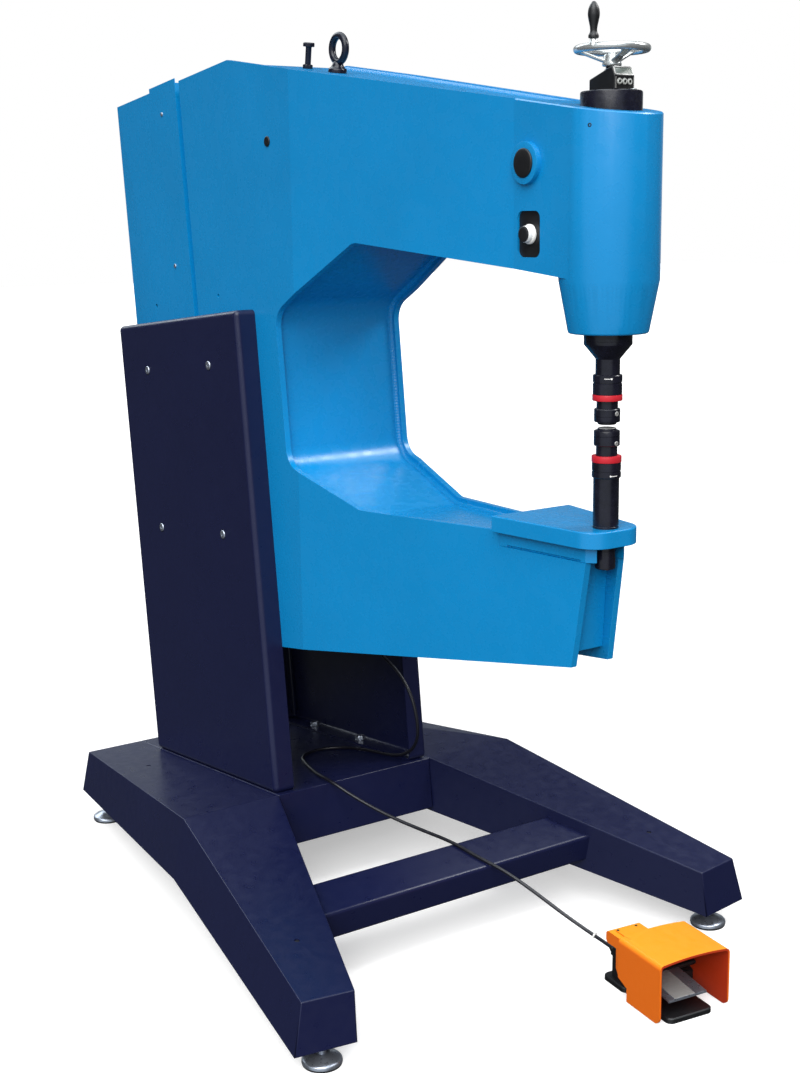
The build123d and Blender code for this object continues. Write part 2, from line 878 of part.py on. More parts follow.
# Lifting eye
with BuildPart() as eye_bolt:
    eye_seat = on_top_web(eye_back)
    extrude(disc(eye_seat, eye_collar_radius), amount=eye_collar)
    fillet(eye_bolt.edges().sort_by(Axis.Z)[-1], eye_collar / 3)
    extrude(disc(eye_seat, tee_stem_radius), amount=-web)
    extrude(disc(eye_seat, eye_rod_radius + tee_stem_radius), amount=eye_centre - eye_ring_radius)
    eye_middle = eye_seat.offset(eye_centre)
    with BuildSketch(eye_middle):
        with Locations((eye_ring_radius, 0)):
            Circle(eye_rod_radius)
    revolve(axis=Axis(eye_middle.origin, (0, 1, 0)))
eye_bolt.part.label = "eye_bolt"
export_step(eye_bolt.part, "parts/eye_bolt.step")

# Stop pin with a round head, held by a nut
with BuildPart() as top_tee_bolt:
    tee_seat = on_top_web(tee_back)
    extrude(disc(tee_seat, tee_stem_radius), amount=tee_height)
    extrude(disc(tee_seat, tee_stem_radius), amount=-web)
    extrude(disc(tee_seat.offset(tee_height - tee_head), tee_head_radius), amount=tee_head)
    extrude(hexagon(tee_seat, tee_nut_radius, tee_stem_radius + run_fit), amount=tee_nut)
top_tee_bolt.part.label = "top_tee_bolt"
export_step(top_tee_bolt.part, "parts/top_tee_bolt.step")

# Cheeks: folded trays, open towards the frame
with BuildPart() as cheek_right:
    with BuildSketch(column.offset(frame_half_width)):
        with Locations((-(cheek_back + cheek_front) / 2, (cheek_top - cheek_bottom) / 2)):
            Rectangle(cheek_back - cheek_front, cheek_top + cheek_bottom)
    extrude(amount=cheek_depth)
    fillet(cheek_right.edges().filter_by(Axis.Y), cheek_corner)
    fillet(cheek_right.faces().sort_by(Axis.Y)[0].edges(), cheek_corner)
    offset(amount=-cheek_sheet, openings=cheek_right.faces().sort_by(Axis.Y)[-1])
    cheek_face = column.offset(frame_half_width + cheek_depth)
    for place in cheek_places:
        extrude(
            disc(cheek_face, cheek_screw_radius + screw_clearance, centre=place),
            amount=-cheek_sheet,
            mode=Mode.SUBTRACT,
        )
        extrude(
            disc(cheek_face, cheek_screw_head_radius + screw_clearance, centre=place),
            amount=-cheek_sheet / 2,
            mode=Mode.SUBTRACT,
        )
    with BuildSketch(column_floor.offset(-cheek_sheet)):
        with Locations(*base_bolt_places):
            Circle(base_bolt_radius + screw_clearance)
    extrude(amount=3 * cheek_sheet, mode=Mode.SUBTRACT)
cheek_right.part.label = "cheek_right"
export_step(cheek_right.part, "parts/cheek_right.step")

with BuildPart() as cheek_left:
    add(mirrored(cheek_right.part))
cheek_left.part.label = "cheek_left"
export_step(cheek_left.part, "parts/cheek_left.step")

# Cheek screws and the sleeves that keep the cheeks off the frame
with BuildPart() as cheek_screws:
    for place in cheek_places:
        head_seat = column.offset(frame_half_width + cheek_depth - cheek_sheet / 2)
        extrude(disc(head_seat, cheek_screw_head_radius, centre=place), amount=cheek_screw_head)
        extrude(disc(head_seat, cheek_screw_radius, centre=place), amount=-cheek_depth - plate)
    mirror(about=Plane.XZ)
cheek_screws.part.label = "cheek_screws"
export_step(cheek_screws.part, "parts/cheek_screws.step")

with BuildPart() as cheek_spacers:
    for place in cheek_places:
        spacer_hole = cheek_screw_radius + screw_clearance
        spacer = disc(column.offset(frame_half_width), spacer_radius, spacer_hole, place)
        extrude(spacer, amount=cheek_depth - cheek_sheet)
    mirror(about=Plane.XZ)
cheek_spacers.part.label = "cheek_spacers"
export_step(cheek_spacers.part, "parts/cheek_spacers.step")

# Bolts with washers that hold the cheeks down to the stand
with BuildPart() as base_bolts:
    bolt_seat = column_floor.offset(cheek_sheet)
    for place in base_bolt_places:
        extrude(disc(bolt_seat, base_bolt_radius, centre=place), amount=-cheek_sheet - 2 * member_wall)
        extrude(disc(bolt_seat, base_washer_radius, centre=place), amount=base_washer)
        extrude(hexagon(bolt_seat, base_bolt_head_radius, centre=place), amount=base_washer + base_bolt_head)
    mirror(about=Plane.XZ)
base_bolts.part.label = "base_bolts"
export_step(base_bolts.part, "parts/base_bolts.step")

# Rear cross member: a deep tray under the cheeks, open below
with BuildPart() as rear_crossmember:
    with BuildSketch(column):
        with Locations((-(leg_rear_back + leg_crease_back) / 2, -cheek_bottom - member_height / 2)):
            Rectangle(leg_rear_back - leg_crease_back, member_height)
    extrude(amount=leg_inner_half_width, both=True)
    member_open = rear_crossmember.faces().sort_by(Axis.Z)[0]
    offset(amount=-member_wall, openings=member_open)
    for turn in (1, -1):
        with BuildSketch(column_floor):
            with Locations(*[(forward, turn * across_y) for forward, across_y in base_bolt_places]):
                Circle(base_bolt_radius + screw_clearance)
        extrude(amount=-member_wall, mode=Mode.SUBTRACT)
rear_crossmember.part.label = "rear_crossmember"
export_step(rear_crossmember.part, "parts/rear_crossmember.step")

# Legs: two straight halves that meet in a crease, slanted outside, open below
crease_top = from_column(-leg_crease_back, -cheek_bottom)
rear_top = from_column(-leg_rear_back, -cheek_bottom)
leg_crease_bottom = (crease_top[0], leg_crease_bottom_height)
leg_front_top = (-leg_front_back, leg_front_height)
leg_front_bottom = (leg_front_lean - leg_front_back, leg_front_height - leg_front_fall)
foot_front = (-leg_front_back - foot_front_inset, (leg_front_half_width + leg_front_inner_half_width) / 2)
foot_rear = (rear_top[0] + foot_rear_inset, leg_rear_half_width - foot_rear_side)
leg_hole_front_x = -leg_front_back - leg_hole_front_inset
leg_outer_line = ((crease_top[0], leg_crease_half_width), (-leg_front_back, leg_front_half_width))
leg_hole_front = (leg_hole_front_x, height_at(*leg_outer_line, leg_hole_front_x) - leg_hole_front_side)
leg_hole_rear = (rear_top[0] + leg_hole_rear_inset, leg_rear_half_width - leg_hole_rear_side)
tube_x = -leg_front_back - tube_inset
tube_z = height_at(crease_top, leg_front_top, tube_x) - tube_drop
slant = Vector(0, -sin(radians(leg_slant)), -cos(radians(leg_slant)))


def leg_point(point, half_width):
    """A point of the right leg in the machine's frame."""
    return Vector(tool_x + point[0], -half_width, point[1])


def wall_plane(start, end, other):
    """The plane through a line from start to end that also holds another direction."""
    return Plane(origin=start, z_dir=(end - start).cross(other))


leg_outer_front = leg_point(leg_front_top, leg_front_half_width)
leg_inner_front = leg_point(leg_front_top, leg_front_inner_half_width)
leg_outer_crease = leg_point(crease_top, leg_crease_half_width)
leg_inner_crease = leg_point(crease_top, leg_inner_half_width)
leg_outer_rear = leg_point(rear_top, leg_rear_half_width)
rear_wall = wall_plane(leg_outer_rear, leg_outer_crease, slant)
front_wall = wall_plane(leg_outer_crease, leg_outer_front, slant)
inner_wall = wall_plane(leg_inner_crease, leg_inner_front, Vector(0, 0, 1))
far_inner_wall = Plane(
    origin=(inner_wall.origin.X, -inner_wall.origin.Y, inner_wall.origin.Z),
    z_dir=(inner_wall.z_dir.X, -inner_wall.z_dir.Y, inner_wall.z_dir.Z),
)
end_skew = Vector(leg_front_skew, leg_front_half_width - leg_front_inner_half_width, 0)
end_fall = Vector(leg_front_bottom[0] - leg_front_top[0], 0, leg_front_bottom[1] - leg_front_top[1])
end_wall = Plane(origin=leg_inner_front, z_dir=end_skew.cross(end_fall))
leg_reach = leg_front_half_width * 2


def leg_shape(inset, drop):
    """The right leg's outside, or with an inset the hollow inside it, let down below the open bottom."""
    far_x = leg_front_bottom[0] + leg_front_inner_half_width
    far_top = (far_x, height_at(crease_top, leg_front_top, far_x))
    far_bottom = (far_x, height_at(leg_crease_bottom, leg_front_bottom, far_x) - drop)
    top = right_of([rear_top, crease_top, far_top], inset)
    back = rear_top[0] + inset
    fold_bottom = (top[1][0], leg_crease_bottom_height - drop)
    rear_points = [
        (back, height_at(top[0], top[1], back)),
        top[1],
        fold_bottom,
        (back, leg_rear_bottom_height - drop),
    ]
    front_points = [top[1], top[2], far_bottom, fold_bottom]
    with BuildPart(mode=Mode.PRIVATE) as rear_half:
        inner_face = side.offset(leg_inner_half_width + inset)
        extrude(outline(inner_face, rear_points), amount=leg_reach, dir=(0, -1, 0))
        split(bisect_by=rear_wall.offset(inset), keep=Keep.TOP)
    with BuildPart(mode=Mode.PRIVATE) as leg_half:
        extrude(outline(side, front_points), amount=leg_reach, dir=(0, -1, 0))
        split(bisect_by=front_wall.offset(inset), keep=Keep.TOP)
        split(bisect_by=inner_wall.offset(inset), keep=Keep.TOP)
        split(bisect_by=end_wall.offset(inset), keep=Keep.TOP)
        add(rear_half.part)
    return leg_half.part


leg_blank = leg_shape(0, 0)
leg_core = leg_shape(leg_wall, leg_wall)

with BuildPart() as foot_bosses:
    for place, seat in ((foot_front, foot_front_seat), (foot_rear, foot_rear_seat)):
        boss = disc(level(seat), foot_boss_radius, foot_stud_radius + run_fit, (place[0], -place[1]))
        extrude(boss, amount=leg_reach, dir=(0, 0, 1))
    add(leg_blank, mode=Mode.INTERSECT)

with BuildPart() as leg_right:
    add(leg_blank)
    add(leg_core, mode=Mode.SUBTRACT)
    add(foot_bosses.part)
    for place in (leg_hole_front, leg_hole_rear):
        hole = disc(level(foot_front_seat), leg_hole_radius, centre=(place[0], -place[1]))
        extrude(hole, amount=leg_reach, dir=(0, 0, 1), mode=Mode.SUBTRACT)
leg_right.part.label = "leg_right"
export_step(leg_right.part, "parts/leg_right.step")

with BuildPart() as leg_left:
    add(mirrored(leg_right.part))
leg_left.part.label = "leg_left"
export_step(leg_left.part, "parts/leg_left.step")

# Front cross tube between the legs' inner walls
with BuildPart() as front_cross_tube:
    tube_fall = (leg_front_top[0] - crease_top[0], leg_front_top[1] - crease_top[1])
    tube_plane = Plane(
        origin=(tool_x + tube_x, 0, tube_z), x_dir=(tube_fall[0], 0, tube_fall[1]), z_dir=(0, -1, 0)
    )
    with BuildSketch(tube_plane):
        RectangleRounded(tube_width, tube_height, tube_corner)
        tube_hollow = (tube_width - 2 * tube_wall, tube_height - 2 * tube_wall)
        RectangleRounded(*tube_hollow, tube_corner - tube_wall, mode=Mode.SUBTRACT)
    extrude(amount=leg_front_half_width, both=True)
    split(bisect_by=inner_wall, keep=Keep.BOTTOM)
    split(bisect_by=far_inner_wall, keep=Keep.BOTTOM)
front_cross_tube.part.label = "front_cross_tube"
export_step(front_cross_tube.part, "parts/front_cross_tube.step")

# Levelling feet: pads, and studs with their lock nuts
foot_places = [(foot_front, foot_front_seat), (foot_rear, foot_rear_seat)]
with BuildPart() as foot_pads:
    for place, seat in foot_places:
        foot_side = Plane(origin=(tool_x + place[0], -place[1], 0), x_dir=(1, 0, 0), z_dir=(0, -1, 0))
        with BuildSketch(foot_side) as pad_half:
            with BuildLine():
                Polyline(
                    (0, 0),
                    (foot_pad_radius, 0),
                    (foot_pad_radius, foot_pad_rim),
                    (foot_pad_neck_radius, foot_pad_height),
                    (0, foot_pad_height),
                    close=True,
                )
            make_face()
            fillet(pad_half.vertices().group_by(Axis.X)[-1].sort_by(Axis.Y)[-1], foot_pad_round)
        revolve(axis=Axis(foot_side.origin, (0, 0, 1)))
    mirror(about=Plane.XZ)
foot_pads.part.label = "foot_pads"
export_step(foot_pads.part, "parts/foot_pads.step")

with BuildPart() as foot_studs:
    for place, seat in foot_places:
        centre = (place[0], -place[1])
        stud_length = seat + foot_nut - foot_pad_height
        extrude(disc(level(foot_pad_height), foot_stud_radius, centre=centre), amount=stud_length)
        lock_nut = hexagon(level(seat - foot_nut), foot_nut_radius, foot_stud_radius + run_fit, centre)
        extrude(lock_nut, amount=foot_nut)
    mirror(about=Plane.XZ)
foot_studs.part.label = "foot_studs"
export_step(foot_studs.part, "parts/foot_studs.step")

# Head housing: flanked cylinder with a tapered foot
under_forward = Vector(seam_bottom[0] - corner_a[0], 0, seam_bottom[1] - corner_a[1])
underside = Plane(
    origin=(tool_x - seam_back, 0, seam_underside),
    x_dir=under_forward,
    z_dir=under_forward.cross(Vector(0, 1, 0)),
)
roof = Plane(origin=(tool_x, 0, head_top), x_dir=top_forward, z_dir=top_normal)
head_room = head_top + head_radius
cavity_radius = slide_radius + run_fit
counterbore_radius = top_collar_radius + seat_gap
with BuildPart() as head_housing:
    with BuildSketch(level(head_foot)):
        with Locations((-seam_back / 2, 0)):
            Rectangle(seam_back, 2 * flank_half_width)
    extrude(amount=head_room - head_foot)
    split(bisect_by=underside, keep=Keep.BOTTOM if underside.z_dir.Z < 0 else Keep.TOP)
    foot_points = [
        (0, head_foot),
        (head_foot_radius, head_foot),
        (head_radius, head_shoulder),
        (head_radius, head_room),
        (0, head_room),
    ]
    revolve(outline(side, foot_points), axis=tool_axis)
    split(bisect_by=roof, keep=Keep.BOTTOM)
    fillet(head_housing.faces().sort_by(Axis.Z)[0].edges(), head_foot_round)
    chamfer(head_housing.faces().sort_by(Axis.Z)[-1].edges(), head_edge)
    extrude(disc(flank, boss_radius, centre=(boss_x, boss_z)), amount=boss_proud, taper=boss_taper)
    bore_points = [
        (0, head_foot),
        (bush_radius, head_foot),
        (bush_radius, bush_top),
        (cavity_radius, bush_top),
        (cavity_radius, cavity_top),
        (spindle_hole_radius, cavity_top),
        (spindle_hole_radius, top_collar_seat),
        (counterbore_radius, top_collar_seat),
        (counterbore_radius, head_room),
        (0, head_room),
    ]
    revolve(outline(side, bore_points), axis=tool_axis, mode=Mode.SUBTRACT)
    tunnel = disc(across(-seam_back), shaft_tunnel_radius, centre=(0, shaft_z))
    extrude(tunnel, amount=seam_back, mode=Mode.SUBTRACT)
    with BuildSketch(flank):
        with Locations((panel_x, panel_z)):
            RectangleRounded(panel_width, panel_height, panel_corner)
    extrude(amount=-panel_depth, mode=Mode.SUBTRACT)
    knob_hole = disc(flank, knob_shaft_radius + run_fit, centre=(panel_x, panel_z))
    extrude(knob_hole, amount=-panel_depth - knob_shaft, mode=Mode.SUBTRACT)
head_housing.part.label = "head_housing"
export_step(head_housing.part, "parts/head_housing.step")

# Cap on the head's boss
with BuildPart() as head_cap:
    extrude(disc(flank.offset(boss_proud), cap_radius, centre=(boss_x, boss_z)), amount=cap_proud)
    fillet(head_cap.edges().sort_by(Axis.Y)[0], cap_proud / 2)
head_cap.part.label = "head_cap"
export_step(head_cap.part, "parts/head_cap.step")

# Selector panel in its recess, and the knob
with BuildPart() as selector_panel:
    with BuildSketch(flank.offset(-panel_depth)):
        with Locations((panel_x, panel_z)):
            RectangleRounded(panel_width - 2 * run_fit, panel_height - 2 * run_fit, panel_corner)
            Circle(knob_shaft_radius + run_fit, mode=Mode.SUBTRACT)
    extrude(amount=panel_plate)
selector_panel.part.label = "selector_panel"
export_step(selector_panel.part, "parts/selector_panel.step")

with BuildPart() as selector_knob:
    knob_seat = flank.offset(panel_plate + seat_gap - panel_depth)
    extrude(disc(knob_seat, knob_radius, centre=(panel_x, panel_z)), amount=knob_skirt)
    chamfer(selector_knob.edges().sort_by(Axis.Y)[0], knob_skirt / 4)
    extrude(disc(knob_seat, knob_grip_radius, centre=(panel_x, panel_z)), amount=knob_rise)
    fillet(selector_knob.edges().sort_by(Axis.Y)[0], run_fit + panel_plate)
    extrude(disc(knob_seat, knob_shaft_radius, centre=(panel_x, panel_z)), amount=-knob_shaft)
    with BuildSketch(knob_seat.offset(knob_rise)):
        with Locations((panel_x, panel_z + knob_grip_radius / 2)):
            Rectangle(panel_plate, knob_grip_radius)
    extrude(amount=-panel_plate / 2, mode=Mode.SUBTRACT)
selector_knob.part.label = "selector_knob"
export_step(selector_knob.part, "parts/selector_knob.step")


def turned(points):
    """Revolve a half section, given as radius and height, about the tool axis."""
    return revolve(outline(side, points), axis=tool_axis)


def sleeve(outer, inner, bottom, top):
    """A plain tube on the tool axis."""
    return extrude(disc(level(bottom), outer, inner), amount=top - bottom)


# Guide bush, slide with its yoke window, ram
with BuildPart() as guide_bush:
    sleeve(bush_radius, ram_radius + run_fit, head_foot, bush_top)
guide_bush.part.label = "guide_bush"
export_step(guide_bush.part, "parts/guide_bush.step")

window_half = eccentric_radius + eccentric + window_room
window_bottom = shaft_z - window_half
window_top = shaft_z + window_half + stroke
with BuildPart() as ram_slide:
    turned(
        [
            (0, stem_bottom),
            (stem_radius, stem_bottom),
            (stem_radius, slide_bottom),
            (slide_radius, slide_bottom),
            (slide_radius, slide_top),
            (0, slide_top),
        ]
    )
    with BuildSketch(across(-head_radius)):
        with Locations((0, (window_bottom + window_top) / 2)):
            Rectangle(2 * window_half, window_top - window_bottom)
    extrude(amount=2 * head_radius, mode=Mode.SUBTRACT)
    spindle_bore = disc(level(spindle_bottom - stroke), spindle_radius + spindle_room)
    extrude(spindle_bore, amount=slide_top, mode=Mode.SUBTRACT)
ram_slide.part.label = "ram_slide"
export_step(ram_slide.part, "parts/ram_slide.step")

ram_foot = ring_top + collar_travel + seat_gap
with BuildPart() as ram:
    turned(
        [
            (0, ram_foot),
            (ram_neck_radius, ram_foot),
            (ram_neck_radius, ram_cone_foot),
            (ram_radius, ram_shoulder),
            (ram_radius, ram_top),
            (0, ram_top),
        ]
    )
    extrude(disc(level(ram_bore_bottom), stem_radius + run_fit), amount=ram_top, mode=Mode.SUBTRACT)
    shank_bore = disc(level(ram_foot), shank_radius + run_fit)
    extrude(shank_bore, amount=shank_length + seat_gap, mode=Mode.SUBTRACT)
ram.part.label = "ram"
export_step(ram.part, "parts/ram.step")

def collar_section(inner, near, far, grip, up):
    """Half section of a release collar: a grip beside its ring, a groove and a plain band."""
    groove_radius = collar_radius - collar_groove_depth
    return [
        (inner, near),
        (collar_radius, near),
        (collar_radius, near + up * grip),
        (groove_radius, near + up * grip),
        (groove_radius, near + up * (grip + collar_groove)),
        (collar_radius, near + up * (grip + collar_groove)),
        (collar_radius, far - up * collar_edge),
        (collar_radius - collar_edge, far),
        (inner, far),
    ]


# Upper tool with its release collar and ring
with BuildPart() as upper_release_collar:
    turned(collar_section(ram_neck_radius + run_fit, ring_top, collar_top, collar_grip, 1))
upper_release_collar.part.label = "upper_release_collar"
export_step(upper_release_collar.part, "parts/upper_release_collar.step")

with BuildPart() as upper_red_ring:
    sleeve(ring_radius, tool_neck_radius + seat_gap, ring_bottom, ring_top)
upper_red_ring.part.label = "upper_red_ring"
export_step(upper_red_ring.part, "parts/upper_red_ring.step")


def tool_section(face, body_end, neck_end, up):
    """Half section of a forming tool that works on its face and is held at the other end."""
    groove = face + up * tool_groove_back
    return [
        (0, face),
        (tool_insert_radius, face),
        (tool_insert_radius, face + up * tool_insert),
        (tool_radius - tool_edge, face + up * tool_insert),
        (tool_radius, face + up * (tool_insert + tool_edge)),
        (tool_radius, groove),
        (tool_radius - tool_groove_depth, groove),
        (tool_radius - tool_groove_depth, groove + up * tool_groove),
        (tool_radius, groove + up * tool_groove),
        (tool_radius, body_end - up * tool_edge / 2),
        (tool_radius - tool_edge / 2, body_end),
        (tool_neck_radius, body_end),
        (tool_neck_radius, neck_end),
        (shank_radius, neck_end),
        (shank_radius, neck_end + up * shank_length),
        (0, neck_end + up * shank_length),
    ]


with BuildPart() as upper_tool:
    turned(tool_section(tool_face, tool_neck_bottom, ram_foot, 1))
upper_tool.part.label = "upper_tool"
export_step(upper_tool.part, "parts/upper_tool.step")

# Lower tool, its ring and collar, the post
post_top = lower_ring_bottom - collar_travel - seat_gap
with BuildPart() as lower_tool:
    turned(tool_section(lower_tool_face, lower_tool_bottom, post_top, -1))
lower_tool.part.label = "lower_tool"
export_step(lower_tool.part, "parts/lower_tool.step")

with BuildPart() as lower_red_ring:
    sleeve(ring_radius, tool_neck_radius + seat_gap, lower_ring_bottom, lower_ring_top)
lower_red_ring.part.label = "lower_red_ring"
export_step(lower_red_ring.part, "parts/lower_red_ring.step")

with BuildPart() as lower_release_collar:
    lower_bore = post_radius + run_fit
    turned(collar_section(lower_bore, lower_ring_bottom, lower_collar_bottom, lower_collar_grip, -1))
lower_release_collar.part.label = "lower_release_collar"
export_step(lower_release_collar.part, "parts/lower_release_collar.step")

with BuildPart() as tool_post:
    turned(
        [
            (0, post_bottom),
            (post_stub_radius - post_tip, post_bottom),
            (post_stub_radius, post_bottom + post_tip),
            (post_stub_radius, table_bottom),
            (post_radius, table_bottom),
            (post_radius, post_top),
            (0, post_top),
        ]
    )
    shank_bore = disc(level(post_top), shank_radius + run_fit)
    extrude(shank_bore, amount=-shank_length - seat_gap, mode=Mode.SUBTRACT)
tool_post.part.label = "tool_post"
export_step(tool_post.part, "parts/tool_post.step")

# Table plate and the slotted carrier under it
with BuildPart() as table:
    with BuildSketch(level(table_bottom)) as table_outline:
        with BuildLine():
            Polyline(
                (-table_rear, table_rear_half_width),
                (table_front, table_front_half_width),
                (table_front, -table_front_half_width),
                (-table_rear, -table_rear_half_width),
                close=True,
            )
        make_face()
        fillet(table_outline.vertices().group_by(Axis.X)[-1], table_front_corner)
        Circle(post_radius + run_fit, mode=Mode.SUBTRACT)
    extrude(amount=table_plate)
    chamfer(table.faces().sort_by(Axis.Z)[-1].outer_wire().edges(), table_edge)
table.part.label = "table_plate"
export_step(table.part, "parts/table_plate.step")


def carrier_half(x):
    """Half width of the carrier, flush with the lower arm."""
    return frame_half_width - tan(lower_turn) * (x - bend_x)


with BuildPart() as table_carrier:
    corner_x = carrier_front - carrier_corner
    carrier_side = [(x, carrier_half(x)) for x in (-table_rear, corner_x)]
    carrier_side.append((carrier_front, carrier_slot_half_width))
    carrier_points = carrier_side + near_side(carrier_side)[::-1]
    extrude(outline(level(carrier_bottom), carrier_points), amount=carrier_plate)
    with BuildSketch(level(carrier_bottom)):
        with Locations(((carrier_front - carrier_slot_back) / 2, 0)):
            Rectangle(carrier_front + carrier_slot_back, 2 * carrier_slot_half_width)
    extrude(amount=carrier_plate, mode=Mode.SUBTRACT)
    groove_ends = (-table_rear + weld_groove_start, corner_x - weld_groove_end)
    groove = [(x, carrier_half(x) + weld_groove) for x in groove_ends]
    groove += [(x, carrier_half(x) - weld_groove) for x in groove_ends[::-1]]
    for strip in (groove, near_side(groove)):
        extrude(outline(level(carrier_bottom), strip), amount=weld_groove, mode=Mode.SUBTRACT)
table_carrier.part.label = "table_carrier"
export_step(table_carrier.part, "parts/table_carrier.step")

# Collar on the head and the position indicator
with BuildPart() as top_collar:
    sleeve(top_collar_radius, spindle_radius + run_fit, top_collar_seat, top_collar_top)
    chamfer(top_collar.faces().sort_by(Axis.Z)[-1].outer_wire().edges(), top_collar_edge)
top_collar.part.label = "top_collar"
export_step(top_collar.part, "parts/top_collar.step")

indicator_front = indicator_length / 2
screen_foot = (indicator_front, indicator_ledge)
screen_head = (indicator_front - indicator_slope_depth, indicator_top)
screen_run = Vector(screen_head[0] - screen_foot[0], 0, screen_head[1] - screen_foot[1])
screen = Plane(
    origin=(tool_x + (screen_foot[0] + screen_head[0]) / 2, 0, (screen_foot[1] + screen_head[1]) / 2),
    x_dir=(0, 1, 0),
    z_dir=Vector(0, 1, 0).cross(screen_run),
)
button_places = [(turn * button_spacing, button_z) for turn in (-1, 0, 1)]
with BuildPart() as indicator_body:
    indicator_points = [
        (-indicator_front, top_collar_top),
        (indicator_front, top_collar_top),
        screen_foot,
        screen_head,
        (-indicator_front, indicator_rear_top),
    ]
    extrude(outline(side, indicator_points), amount=indicator_width / 2, both=True)
    fillet(indicator_body.edges().filter_by(Axis.Z), indicator_corner)
    sleeve_hole = disc(level(top_collar_top), spindle_radius + seat_gap)
    extrude(sleeve_hole, amount=indicator_length, mode=Mode.SUBTRACT)
    with BuildSketch(screen):
        Rectangle(window_width, window_height)
    extrude(amount=-window_glass, mode=Mode.SUBTRACT)
    with BuildSketch(across(indicator_front)):
        with Locations(*button_places):
            Circle(button_radius + run_fit)
    extrude(amount=-button_length - button_travel, mode=Mode.SUBTRACT)
indicator_body.part.label = "indicator_body"
export_step(indicator_body.part, "parts/indicator_body.step")

with BuildPart() as indicator_window:
    with BuildSketch(screen.offset(-window_glass)):
        Rectangle(window_width - 2 * run_fit, window_height - 2 * run_fit)
    extrude(amount=window_glass + window_proud)
indicator_window.part.label = "indicator_window"
export_step(indicator_window.part, "parts/indicator_window.step")

for number, place in enumerate(button_places, start=1):
    with BuildPart() as button:
        extrude(
            disc(across(indicator_front - button_length), button_radius, centre=place),
            amount=button_length + button_proud,
        )
    button.part.label = f"indicator_button_{number}"
    export_step(button.part, f"parts/indicator_button_{number}.step")

# Handwheel on its spindle, with the pin for the handle
handle_x = rim_radius * cos(radians(handle_angle))
handle_y = rim_radius * sin(radians(handle_angle))
with BuildPart() as handwheel:
    with BuildSketch(side):
        with Locations((rim_radius, rim_z)):
            RegularPolygon(rim_section, side_count=rim_sides)
    revolve(axis=tool_axis)
    for spoke in range(spoke_count):
        spoke_angle = radians(handle_angle + (spoke + spoke_offset) * 360 / spoke_count)
        spoke_start = Vector(tool_x, 0, (hub_bottom + hub_top) / 2)
        spoke_end = Vector(tool_x + rim_radius * cos(spoke_angle), rim_radius * sin(spoke_angle), rim_z)
        spoke_way = spoke_end - spoke_start
        spoke_across = Vector(-sin(spoke_angle), cos(spoke_angle), 0)
        with BuildSketch(Plane(origin=spoke_start, x_dir=spoke_way, z_dir=spoke_way.cross(spoke_across))):
            with BuildLine():
                reach = spoke_way.length
                waist = reach * spoke_waist_share
                root = spoke_root_half_width
                ThreePointArc((0, root), (waist, spoke_waist_half_width), (reach, root))
                Line((reach, root), (reach, -root))
                ThreePointArc((reach, -root), (waist, -spoke_waist_half_width), (0, -root))
                Line((0, -root), (0, root))
            make_face()
        extrude(amount=spoke_thickness / 2, both=True)
    turned(
        [
            (0, spindle_bottom),
            (spindle_radius, spindle_bottom),
            (spindle_radius, hub_bottom),
            (hub_radius, hub_bottom),
            (hub_radius, hub_bottom + hub_collar),
            (hub_top_radius, hub_top),
            (0, hub_top),
        ]
    )
    crank_pin = disc(level(rim_z), pin_radius, centre=(handle_x, handle_y))
    extrude(crank_pin, amount=pin_top - rim_z)
    ferrule_foot = rim_z + rim_section - seat_gap
    ferrule = disc(level(ferrule_foot), ferrule_radius, centre=(handle_x, handle_y))
    extrude(ferrule, amount=handle_bottom - seat_gap - ferrule_foot)
handwheel.part.label = "handwheel"
export_step(handwheel.part, "parts/handwheel.step")

with BuildPart() as crank_handle:
    handle_side = Plane(origin=(tool_x + handle_x, handle_y, 0), x_dir=(1, 0, 0), z_dir=(0, -1, 0))
    with BuildSketch(handle_side):
        with BuildLine():
            Line((pin_radius + run_fit, handle_bottom), (handle_collar_radius, handle_bottom))
            Polyline(
                (handle_collar_radius, handle_bottom),
                (handle_collar_radius, handle_bottom + handle_collar),
                (handle_neck_radius, handle_bottom + 2 * handle_collar),
            )
            Spline(
                (handle_neck_radius, handle_bottom + 2 * handle_collar),
                (handle_radius, handle_belly),
                (0, handle_top),
                tangents=[(0, 1), (-1, 0)],
            )
            Polyline(
                (0, handle_top),
                (0, pin_top + seat_gap),
                (pin_radius + run_fit, pin_top + seat_gap),
                (pin_radius + run_fit, handle_bottom),
            )
        make_face()
    revolve(axis=Axis(handle_side.origin, (0, 0, 1)))
crank_handle.part.label = "crank_handle"
export_step(crank_handle.part, "parts/crank_handle.step")

# Drive shaft with its eccentric end
shaft_centre = (0, shaft_z)
with BuildPart() as drive_shaft:
    extrude(disc(across(shaft_rear), shaft_radius, centre=shaft_centre), amount=shaft_front - shaft_rear)
    journal = disc(across(shaft_front), eccentric_radius, centre=(0, shaft_z + eccentric))
    extrude(journal, amount=eccentric_front - shaft_front)
drive_shaft.part.label = "drive_shaft"
export_step(drive_shaft.part, "parts/drive_shaft.step")

with BuildPart() as shaft_bearings:
    rear_bearing_x = drive_plate_rear + (plate - bearing_width) / 2
    ring_face = disc(across(rear_bearing_x), bearing_radius - run_fit, shaft_radius + run_fit, shaft_centre)
    extrude(ring_face, amount=bearing_width)
    ring_face = disc(across(end_plate_rear), bearing_radius - run_fit, shaft_radius + run_fit, shaft_centre)
    extrude(ring_face, amount=end_plate)
shaft_bearings.part.label = "shaft_bearings"
export_step(shaft_bearings.part, "parts/shaft_bearings.step")

